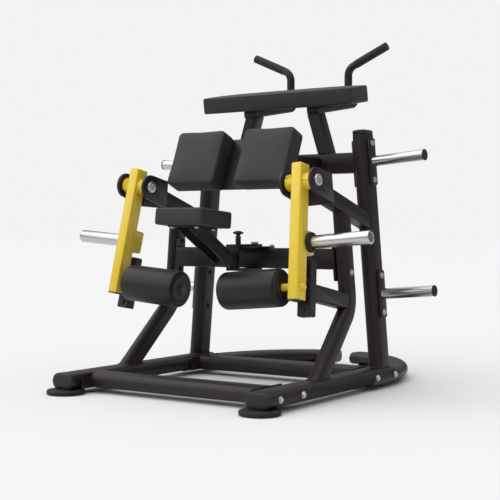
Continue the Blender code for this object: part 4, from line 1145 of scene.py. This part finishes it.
@dataclass
class StorageHorns:
    """Chromed storage horns with rubber plugs in their outer ends."""

    radius: float = 0.0205
    length: float = 0.216
    cap_radius: float = 0.0215
    cap_length: float = 0.005

    def build(self, tools: Tools) -> None:
        """Build and dress the four horns."""
        bar = [(0.0, 0.0), (self.radius, 0.0), (self.radius, self.length - 0.001),
               (self.radius - 0.001, self.length), (0.0, self.length)]
        plug = [(0.0, 0.0), (self.cap_radius, 0.0), (self.cap_radius, 0.0030),
                (self.cap_radius - 0.0012, self.cap_length - 0.0006),
                (self.cap_radius - 0.0040, self.cap_length), (0.008, self.cap_length + 0.0004),
                (0.0075, self.cap_length - 0.0006), (0.0, self.cap_length - 0.0006)]
        for side in Side:
            for level, height in zip(("upper", "lower"), STORE_HEIGHTS):
                tail = f"{level}_{side.label}"
                place = outwards(side_matrix(side), side, UPRIGHT_STATION, in_frame(height),
                                 STORE_START)
                adopt(placed(f"storage_horn_{tail}_finish", turned("horn", bar), place),
                      "frame", CHROME, [f"storage_horn_{tail}"])
                tip = place @ Matrix.Translation((0.0, 0.0, self.length + GAP))
                adopt(placed(f"storage_cap_{tail}_finish", turned("plug", plug), tip),
                      "frame", RUBBER, [f"storage_cap_{tail}"])
                self.build_weld(f"storage_weld_{tail}", place, tools)

    def build_weld(self, name: str, place: Matrix, tools: Tools) -> None:
        """The weld round a horn's root."""
        count = 40
        ring = [2 * math.pi * step / count for step in range(count)]
        reach = self.radius + 0.0010
        points = [place @ Vector((reach * math.cos(a), reach * math.sin(a), 0.0006)) for a in ring]
        turn = place.to_3x3()
        axes = [turn @ Vector((math.cos(a), math.sin(a), 0.6)).normalized() for a in ring]
        bead = tools.beads.make(name, Line3D(points, axes, closed=True), BLACK_COAT,
                                Pitch=0.0026, Length=0.0052, Width=0.0052, Height=0.0044)
        adopt(bead, "frame", BLACK_COAT)


# ------------------------------------------------------------------ swing arms
@dataclass
class SwingArm:
    """One yellow arm with its weight horn, collar, end caps and foam roller."""

    side: Side
    depth: float = 0.060
    below: float = 0.4245
    horn_radius: float = 0.02415
    horn_length: float = 0.244
    horn_behind: float = 0.045
    collar_radius: float = 0.036
    collar: float = 0.014
    axle_drop: float = 0.3764
    roller_start: float = 0.060
    roller_radius: float = 0.0685
    roller_length: float = 0.244
    disc_radius: float = 0.0500

    @property
    def body(self) -> str:
        """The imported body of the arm."""
        return f"arm_{self.side.label}"

    def build(self, tools: Tools) -> None:
        """Build and dress every piece of the arm."""
        refined(f"swing_arm_{self.side.label}", YELLOW_COAT, 0.0)
        self.build_end_cap()
        self.build_horn()
        self.build_roller()

    def build_end_cap(self) -> None:
        """The thin plastic plug that closes the arm's lower end."""
        rings = [outline_ring(self.depth - 2 * inset, ARM_WIDTH - 2 * inset, 0.005 - inset, level)
                 for level, inset in ((-0.0002, 0.0004), (0.0022, 0.0004), (0.0032, 0.0014))]
        flat = from_axes(Vector(), Vector((1, 0, 0)), Vector((0, 0, 1)))
        foot = Matrix.Translation((-ARM_AHEAD, -self.below, 0.0))
        cap = placed(f"arm_end_cap_{self.side.label}", smooth(loft("end cap", rings)),
                     arm_matrix(self.side) @ foot @ flat)
        adopt(cap, self.body, PLASTIC)

    def build_horn(self) -> None:
        """The plate horn with its dished end, and the rubber collar at its root."""
        reach, length = self.horn_radius, self.horn_length
        bar = [(0.0, 0.0), (reach, 0.0), (reach, length - 0.0028),
               (reach - 0.0008, length - 0.0010), (reach - 0.0028, length),
               (reach - 0.0062, length), (reach - 0.0070, length - 0.0012),
               (0.0, length - 0.0012)]
        place = outwards(arm_matrix(self.side), self.side, self.horn_behind - ARM_AHEAD,
                         -HORN_DROP, ARM_WIDTH / 2 + GAP)
        tail = self.side.label
        adopt(placed(f"weight_horn_{tail}_finish", turned("horn", bar, 96), place),
              self.body, CHROME, [f"weight_horn_{tail}"])
        bore, rim, top = reach + GAP, self.collar_radius, self.collar
        loop = [(bore, 0.0), (rim - 0.001, 0.0), (rim, 0.001), (rim, top - 0.003),
                (rim - 0.001, top - 0.001), (rim - 0.003, top), (bore + 0.001, top),
                (bore, top - 0.001)]
        adopt(placed(f"plate_stop_{tail}_finish", turned("collar", loop, 72, True), place),
              self.body, RUBBER, [f"plate_stop_{tail}"])

    def build_roller(self) -> None:
        """The foam sleeve, and the discs that close its ends."""
        rim, length = self.roller_radius, self.roller_length
        place = outwards(arm_matrix(self.side), self.side.other, -ARM_AHEAD, -self.axle_drop,
                         self.roller_start)
        ends = [(0.0, 0.0022), (0.040, 0.0018), (rim - 0.014, 0.0004), (rim - 0.0075, 0.0010),
                (rim - 0.0030, 0.0034), (rim - 0.0008, 0.0078), (rim - 0.0001, 0.0130)]
        middle = [(rim + 0.0004 * math.sin(math.pi * t / 10), 0.013 + (length - 0.026) * t / 10)
                  for t in range(1, 10)]
        foam = ends + middle + [(radius, length - height) for radius, height in reversed(ends)]
        tail = self.side.label
        body = f"roller_{tail}"
        adopt(placed(f"foam_roller_{tail}_finish", turned("roller", foam, 128), place),
              body, FOAM, [f"foam_roller_{tail}"])
        disc = self.disc_radius
        cap = [(0.0, 0.0), (disc, 0.0), (disc, 0.0034), (disc - 0.0008, 0.0044),
               (disc - 0.0030, 0.0046), (disc - 0.0048, 0.0034), (disc - 0.0065, 0.0030),
               (0.016, 0.0034), (0.0150, 0.0040), (0.0, 0.0044)]
        tip = place @ Matrix.Translation((0.0, 0.0, length - 0.0022))
        adopt(placed(f"roller_cap_{tail}", turned("roller cap", cap, 96), tip), body, PLASTIC)
        ring = [(0.0150, 0.0), (0.0360, 0.0), (0.0376, 0.0012), (0.0400, 0.0012), (0.0416, 0.0),
                (0.0590, 0.0), (0.0602, 0.0010), (0.0602, 0.0050), (0.0150, 0.0050)]
        root = place @ Matrix.Translation((0.0, 0.0, -0.0030))
        adopt(placed(f"roller_flange_{tail}", turned("flange", ring, 72, True), root),
              body, PLASTIC)


# ------------------------------------------------------------------ upholstery
@dataclass
class Cushion:
    """A stuffed pad on a flat board: its face at local Z = 0, its board behind it."""

    name: str
    node: str
    body: str
    matrix: Matrix
    width: float
    length: float
    thickness: float
    corner: float = 0.019
    edge: float = 0.0075
    voxel: float = 0.0045
    shrink: float = 0.0018
    cap: float = 0.0050
    firmness: float = 0.16
    crown: float = 0.0030
    seam: float = 0.016
    seam_half: float = 0.0035
    seam_depth: float = 0.0011
    board: float = 0.006
    base_inset: float = 0.003
    edge_steps: int = 6
    pressure: float = 4.0
    settling: int = 20
    swell: float = 0.003
    stitch_above: float = 0.0048
    ray_start: float = 0.08
    ray_reach: float = 0.12
    shell: bpy.types.Object | None = None

    def start(self) -> None:
        """Make the pad's smaller starting shape, remeshed and with its board pinned."""
        wide, long = self.width - 2 * self.shrink, self.length - 2 * self.shrink
        base = self.base_inset
        rings = [outline_ring(wide - 2 * base, long - 2 * base, self.corner - base,
                              -self.thickness),
                 outline_ring(wide, long, self.corner, base - self.thickness)]
        top = -self.shrink
        for step in range(self.edge_steps + 1):
            angle = math.pi / 2 * step / self.edge_steps
            inset = self.edge * (1 - math.cos(angle))
            rings.append(outline_ring(wide - 2 * inset, long - 2 * inset, self.corner - inset * 0.8,
                                      top - self.edge * (1 - math.sin(angle))))
        source = make_object(f"{self.name}_start", loft(self.name, rings))
        remesh = source.modifiers.new("voxels", "REMESH")
        remesh.mode = "VOXEL"
        remesh.voxel_size = self.voxel
        self.shell = make_object(f"{self.name}_shell", evaluated(source))
        discard(source)
        board = self.shell.vertex_groups.new(name="board")
        low = self.board - self.thickness
        pinned = [v.index for v in self.shell.data.vertices if v.co.z < low]
        board.add(pinned, 1.0, "REPLACE")

    def add_cloth(self) -> None:
        """Let air pressure fill the shell."""
        cloth = self.shell.modifiers.new("stuffing", "CLOTH")
        cloth.settings.use_pressure = True
        cloth.settings.uniform_pressure_force = self.pressure
        cloth.settings.vertex_group_mass = "board"
        cloth.settings.effector_weights.gravity = 0.0
        cloth.settings.quality = 5
        cloth.point_cache.frame_end = self.settling

    def settle(self) -> None:
        """Keep the simulated shape, with each point's travel capped."""
        rest = [vertex.co.copy() for vertex in self.shell.data.vertices]
        if self.shell.modifiers:
            mesh = evaluated(self.shell)
            self.shell.modifiers.clear()
            self.shell.data = mesh
            for vertex, start in zip(mesh.vertices, rest):
                travel = (vertex.co - start) * self.firmness
                if travel.length > self.cap:
                    travel = travel.normalized() * self.cap
                vertex.co = start + travel
        for vertex in self.shell.data.vertices:
            across = min(1.0, abs(vertex.co.x) / (self.width / 2))
            along = min(1.0, abs(vertex.co.y) / (self.length / 2))
            front = max(0.0, min(1.0, (vertex.co.z + self.thickness) / self.thickness))
            bulge = self.crown * (1 - across ** 4) * (1 - along ** 4)
            vertex.co.z += (bulge - 0.4 * self.crown) * front ** 3

    def refine(self) -> None:
        """Smooth the shell, keep it in its space and press the seam into its sides."""
        ease = self.shell.modifiers.new("ease", "SMOOTH")
        ease.factor, ease.iterations = 0.5, 3
        finer = self.shell.modifiers.new("finer", "SUBSURF")
        finer.levels = finer.render_levels = 1
        mesh = evaluated(self.shell)
        self.shell.modifiers.clear()
        self.shell.data = mesh
        limit_x, limit_y = self.width / 2 + self.swell, self.length / 2 + self.swell
        for vertex in mesh.vertices:
            vertex.co.x = max(-limit_x, min(limit_x, vertex.co.x))
            vertex.co.y = max(-limit_y, min(limit_y, vertex.co.y))
            vertex.co.z = max(-self.thickness, vertex.co.z)
            away = abs(vertex.co.z + self.seam)
            if away < self.seam_half:
                flat = Vector((vertex.normal.x, vertex.normal.y, 0.0))
                fade = (1 + math.cos(math.pi * away / self.seam_half)) / 2
                vertex.co -= flat * self.seam_depth * fade
        mesh.shade_smooth()

    def seam_line(self, level: float, sink: float) -> Line3D:
        """A loop on the pad's sides at a level behind its face."""
        tree = BVHTree.FromPolygons([v.co for v in self.shell.data.vertices],
                                    [p.vertices for p in self.shell.data.polygons])
        points, axes = [], []
        loop = rounded_rectangle(self.width, self.length, self.corner, 12)
        spots = []
        for first, second in zip(loop, loop[1:] + loop[:1]):
            gap = math.dist(first, second)
            count = max(1, round(gap / 0.008))
            spots += [(first[0] + (second[0] - first[0]) * t / count,
                       first[1] + (second[1] - first[1]) * t / count) for t in range(count)]
        flat_x, flat_y = self.width / 2 - self.corner, self.length / 2 - self.corner
        for x, y in spots:
            inner = Vector((max(-flat_x, min(flat_x, x)), max(-flat_y, min(flat_y, y)), level))
            way = (Vector((x, y, level)) - inner).normalized()
            hit, normal, _, _ = tree.ray_cast(inner + way * self.ray_start, -way, self.ray_reach)
            if hit is not None:
                points.append(self.matrix @ (hit - normal * sink))
                axes.append((self.matrix.to_3x3() @ normal).normalized())
        return Line3D(points, axes, closed=True)

    def finish(self, tools: Tools) -> None:
        """Sew the seam and put the pad in its place."""
        welt = tools.pipes.make(f"{self.name}_welt", self.seam_line(-self.seam, 0.0006),
                                UPHOLSTERY, Radius=0.0013, Sides=8)
        adopt(welt, self.body, UPHOLSTERY)
        line = self.seam_line(self.stitch_above - self.seam, 0.0001)
        stitches = tools.beads.make(f"{self.name}_stitches", line, THREAD,
                                    Pitch=0.0050, Length=0.0034, Width=0.0009, Height=0.0008)
        adopt(stitches, self.body, THREAD)
        mesh = self.shell.data
        mesh.name = self.name
        discard(self.shell)
        adopt(placed(self.name, mesh, self.matrix), self.body, UPHOLSTERY, [self.node])


@dataclass
class Upholstery:
    """The four pads: two for the thighs, one for the forearms and one for the knee."""

    thigh_x: float = 0.1575
    thigh_size: tuple[float, float, float] = (0.226, 0.230, 0.074)
    forearm_tilt: float = math.radians(9.5)
    forearm_front: tuple[float, float] = (0.749, 1.0870)
    forearm_size: tuple[float, float, float] = (0.708, 0.150, 0.068)
    knee_size: tuple[float, float, float] = (0.230, 0.182, KNEE_THICKNESS)

    def cushions(self, knee: Matrix) -> list[Cushion]:
        """The pads in their places, the knee's as its swivel carries it."""
        right, thigh = Vector((1.0, 0.0, 0.0)), thigh_matrix()
        made = [Cushion(f"thigh_cushion_{side.label}", f"thigh_pad_{side.label}", "frame",
                        thigh @ Matrix.Translation((side.value * self.thigh_x, 0.0, 0.0)),
                        *self.thigh_size) for side in Side]
        wide, deep, thick = self.forearm_size
        tilt = self.forearm_tilt
        origin = Vector((0.0, station(self.forearm_front[0]), self.forearm_front[1]))
        rest = from_axes(origin, right, Vector((0.0, math.cos(tilt), math.sin(tilt))))
        rest = rest @ Matrix.Translation((0.0, deep / 2, thick))
        made.append(Cushion("forearm_cushion", "forearm_pad", "frame", rest, wide, deep, thick,
                            corner=0.009, edge=0.004, voxel=0.0045, crown=0.0012, seam=0.012))
        wide, deep, thick = self.knee_size
        made.append(Cushion("knee_cushion", "knee_pad", "knee_support",
                            knee @ Matrix.Translation((0.0, 0.0, thick / 2)), wide, deep, thick,
                            corner=0.010, edge=0.004, crown=0.0012, seam=0.014))
        return made

    def build(self, tools: Tools, knee: Matrix) -> None:
        """Stuff, sew and place the pads."""
        pads = self.cushions(knee)
        for pad in pads:
            pad.start()
        for pad in pads:
            pad.add_cloth()
        for count in range(1, pads[0].settling + 1):
            bpy.context.scene.frame_set(count)
        for pad in pads:
            pad.settle()
            pad.refine()
            pad.finish(tools)


# ------------------------------------------------------------------ handles
@dataclass
class Handles:
    """The bent handles behind the forearm pad, with ribbed grips."""

    x: float = 0.142
    station: float = 1.103
    bend_height: float = 1.2800
    tip: tuple[float, float] = (0.318, 1.3580)
    radius: float = 0.0165
    bend: float = 0.045
    sleeve: float = 0.0009
    rib_pitch: float = 0.0055

    def build(self, tools: Tools) -> None:
        """Dress the bars and slide the grips on."""
        for side in Side:
            refined(f"handle_{side.label}", BLACK_COAT)
            self.build_grip(side, tools)

    def build_grip(self, side: Side, tools: Tools) -> None:
        """A rubber sleeve over the sloping end of a handle, closed round its tip."""
        y = station(self.station)
        corner = Vector((side.value * self.x, y, self.bend_height))
        tip = Vector((side.value * self.tip[0], y, self.tip[1]))
        along = (tip - corner).normalized()
        start = corner + along * 0.040
        length = (tip - start).length
        count = int(length / self.rib_pitch * 4)
        points, sizes = [], []
        for step in range(count + 1):
            run = length * step / count
            rib = 0.010 * (1 if step % 4 in (1, 2) and 0.01 < run < length - 0.014 else 0)
            points.append(start + along * run)
            sizes.append(1.0 + rib - (0.04 if step == 0 else 0.0))
        reach = self.radius + self.sleeve
        for step in range(1, 7):
            angle = math.pi / 2 * step / 6
            points.append(tip + along * 0.0050 * math.sin(angle))
            sizes.append(1.0 - 0.40 * (1 - math.cos(angle)))
        line = Line3D(points, [Vector((0, 1, 0))] * len(points), sizes)
        grip = tools.pipes.make(f"handle_grip_{side.label}", line, RUBBER, Radius=reach, Sides=40)
        adopt(grip, "frame", RUBBER)


# ------------------------------------------------------------------ knee support
@dataclass
class KneeSupport:
    """The swivelling arm under the knee pad, its index plate and its pull pin."""

    station: float = 0.610
    beam_height: float = 0.4970
    yaw: float = math.radians(3.2)
    reach: float = 0.372
    pad_height: float = 0.6495
    tilt: float = math.radians(5.5)
    plate: float = 0.006
    half_beam: float = 0.0390
    pin_reach: float = 0.105
    pad_bolts: tuple[float, float] = (0.058, 0.046)
    pad_bolt_size: float = 0.0070
    plate_bolt: tuple[float, float] = (0.078, 0.004)
    plate_bolt_size: float = 0.0085

    def swivel(self) -> Matrix:
        """The swivel: origin on its axis at mid beam, local -Y towards the pad."""
        origin = Matrix.Translation((0.0, station(self.station), self.beam_height))
        return origin @ Matrix.Rotation(-self.yaw, 4, "Z")

    def pad(self) -> Matrix:
        """The middle of the knee pad."""
        middle = Matrix.Translation((0.0, -self.reach, self.pad_height - self.beam_height))
        return self.swivel() @ middle @ Matrix.Rotation(-self.tilt, 4, "X")

    def build(self, tools: Tools) -> None:
        """Dress the arm, the plate and the bolt, and turn the pin."""
        refined("knee_swivel_arm", BLACK_COAT, 0.0)
        refined("swivel_index_plate", BLACK_COAT, 0.0008)
        refined("swivel_bolt", ZINC, 0.0006)
        pin = [(0.0, 0.0458), (0.0045, 0.0458), (0.0060, 0.0474), (0.0060, 0.0860),
               (0.0080, 0.0892), (0.0090, 0.0906), (0.0104, 0.0922), (0.0170, 0.0942),
               (0.0198, 0.0954), (0.0209, 0.0968), (0.0210, 0.0980), (0.0204, 0.0994),
               (0.0186, 0.1008), (0.0110, 0.1044), (0.0060, 0.1054), (0.0, 0.1056)]
        place = self.swivel() @ Matrix.Translation((0.0, -self.pin_reach, 0.0))
        adopt(placed("pull_pin_finish", turned("pin", pin, 60), place), "pull_pin", PLASTIC,
              ["pull_pin"])

    def bolts(self) -> list[Bolt]:
        """Bolts through the mounting plate into the pad's board."""
        pad = self.pad()
        down = -pad.col[2].to_3d()
        level = -KNEE_THICKNESS / 2 - GAP - self.plate
        across, along = self.pad_bolts
        return [Bolt(pad @ Vector((x * across, y * along, level)), down, self.pad_bolt_size)
                for x in (-1, 1) for y in (-1, 1)]

    def plate_bolts(self) -> list[Bolt]:
        """Bolts that hold the index plate down on the crossbeam."""
        level = self.half_beam + self.plate + GAP
        turn = Matrix.Translation((0.0, station(self.station), self.beam_height))
        across, along = self.plate_bolt
        return [Bolt(turn @ Vector((x * across, along, level)), Vector((0, 0, 1)),
                     self.plate_bolt_size) for x in (-1, 1)]


# ------------------------------------------------------------------ bolts of the whole machine
@dataclass
class Fasteners:
    """All hexagon bolts, one field of them for each body and finish."""

    thigh_depth: float = 0.0823
    thigh_x: tuple[float, float] = (0.106, 0.1895)
    thigh_y: float = 0.085
    thigh_size: float = 0.0080

    def pad_bolts(self) -> list[Bolt]:
        """Bolts through the thigh pads' plate, seen from behind."""
        base = thigh_matrix()
        back = -base.col[2].to_3d()
        return [Bolt(base @ Vector((side.value * x, y, -self.thigh_depth)), back, self.thigh_size)
                for side in Side for x in self.thigh_x for y in (-self.thigh_y, self.thigh_y)]

    def build(self, tools: Tools, base: Base, steel: Weldments, knee: KneeSupport) -> None:
        """Make one mesh of bolts for each body and finish."""
        fields = {"frame": base.bolts() + steel.bolts() + self.pad_bolts() + knee.plate_bolts(),
                  "knee_support": knee.bolts()}
        for body, bolts in fields.items():
            for finish, word in ((ZINC, "bolts"), (BLACK_COAT, "nuts")):
                chosen = [bolt for bolt in bolts if bolt.finish is finish]
                if chosen:
                    line = Line3D([bolt.place for bolt in chosen], [bolt.axis for bolt in chosen],
                                  [bolt.size for bolt in chosen], joined=False)
                    made = tools.bolts.make(f"{word}_{body}", line, finish)
                    smooth(made.data, 25.0)
                    adopt(made, body, finish)


# ------------------------------------------------------------------ studio
@dataclass
class Studio:
    """Pale floor, soft light and the camera."""

    lens: float = 82.2
    eye: tuple[float, float, float] = (2.4916, -3.1017, 0.6095)
    heading: float = math.radians(34.107)
    pitch: float = math.radians(-1.054)
    backdrop: float = 0.896
    floor_radius: float = 60.0
    horizon: float = 0.22
    from_left: float = 0.08
    from_front: float = 0.06
    from_above: float = 0.66
    suns: tuple[tuple[str, Point, float, float], ...] = (
        ("key", (-0.42, -0.46, 0.80), 90.0, 1.65), ("overhead", (0.0, -0.1, 1.0), 120.0, 1.0))

    def build(self) -> None:
        """Build everything that isn't the machine."""
        self.build_floor()
        self.build_world()
        self.build_lights()
        self.build_camera()
        bpy.context.scene.view_settings.view_transform = "Standard"

    def build_floor(self) -> None:
        """A wide pale floor."""
        work = bmesh.new()
        bmesh.ops.create_circle(work, cap_ends=True, segments=64, radius=self.floor_radius)
        mesh = bpy.data.meshes.new("studio_floor")
        work.to_mesh(mesh)
        work.free()
        mesh.materials.append(PAPER.material())
        floor = make_object("studio_floor", mesh)

    def build_world(self) -> None:
        """An even pale backdrop, and softer light that comes mostly from above and the left."""
        world = bpy.data.worlds.new("studio")
        bpy.context.scene.world = world
        world.use_nodes = True
        world.node_tree.nodes.clear()
        graph = Graph(world.node_tree)
        ray = graph.node("ShaderNodeTexCoord", output="Generated")
        sideways, along, up = (graph.node("ShaderNodeSeparateXYZ", None, {0: ray}, output=axis)
                               for axis in range(3))
        level = (self.horizon - self.from_left * sideways - self.from_front * along
                 + self.from_above * up.math("MAXIMUM", up, 0.0))
        soft = graph.node("ShaderNodeBackground", None, {"Strength": level})
        plain = graph.node("ShaderNodeBackground", None, {"Color": (*(self.backdrop,) * 3, 1.0)})
        seen = graph.node("ShaderNodeLightPath", output="Is Camera Ray")
        both = graph.node("ShaderNodeMixShader", None, {0: seen, 1: soft, 2: plain})
        out = world.node_tree.nodes.new("ShaderNodeOutputWorld")
        world.node_tree.links.new(both.socket, out.inputs["Surface"])

    def build_lights(self) -> None:
        """Two soft suns, so that the floor is lit evenly: a key and one overhead."""
        for name, way, angle, power in self.suns:
            data = bpy.data.lights.new(name, "SUN")
            data.angle = math.radians(angle)
            data.energy = power
            lamp = bpy.data.objects.new(name, data)
            lamp.rotation_euler = (-Vector(way)).to_track_quat("-Z", "Y").to_euler()
            bpy.context.scene.collection.objects.link(lamp)

    def build_camera(self) -> None:
        """The camera, level with the machine's middle, off its right front corner."""
        data = bpy.data.cameras.new("studio camera")
        data.lens = self.lens
        data.sensor_width = 36.0
        data.clip_end = 200.0
        camera = bpy.data.objects.new("studio camera", data)
        camera.location = (self.eye[0], station(self.eye[1]), self.eye[2])
        level = math.cos(self.pitch)
        way = Vector((-math.sin(self.heading) * level, math.cos(self.heading) * level,
                      math.sin(self.pitch)))
        camera.rotation_euler = way.to_track_quat("-Z", "Y").to_euler()
        bpy.context.scene.collection.objects.link(camera)
        bpy.context.scene.camera = camera


def main() -> None:
    """Build the sub-assemblies in order, then the studio."""
    logging.basicConfig(level=logging.INFO, format="%(name)s: %(message)s")
    tools = Tools()
    base, steel, knee = Base(), Weldments(), KneeSupport()
    base.build(tools)
    steel.build(tools)
    StorageHorns().build(tools)
    for side in Side:
        SwingArm(side).build(tools)
    Handles().build(tools)
    knee.build(tools)
    Upholstery().build(tools, knee.pad())
    Fasteners().build(tools, base, steel, knee)
    Studio().build()


if __name__ == "__main__":
    main()
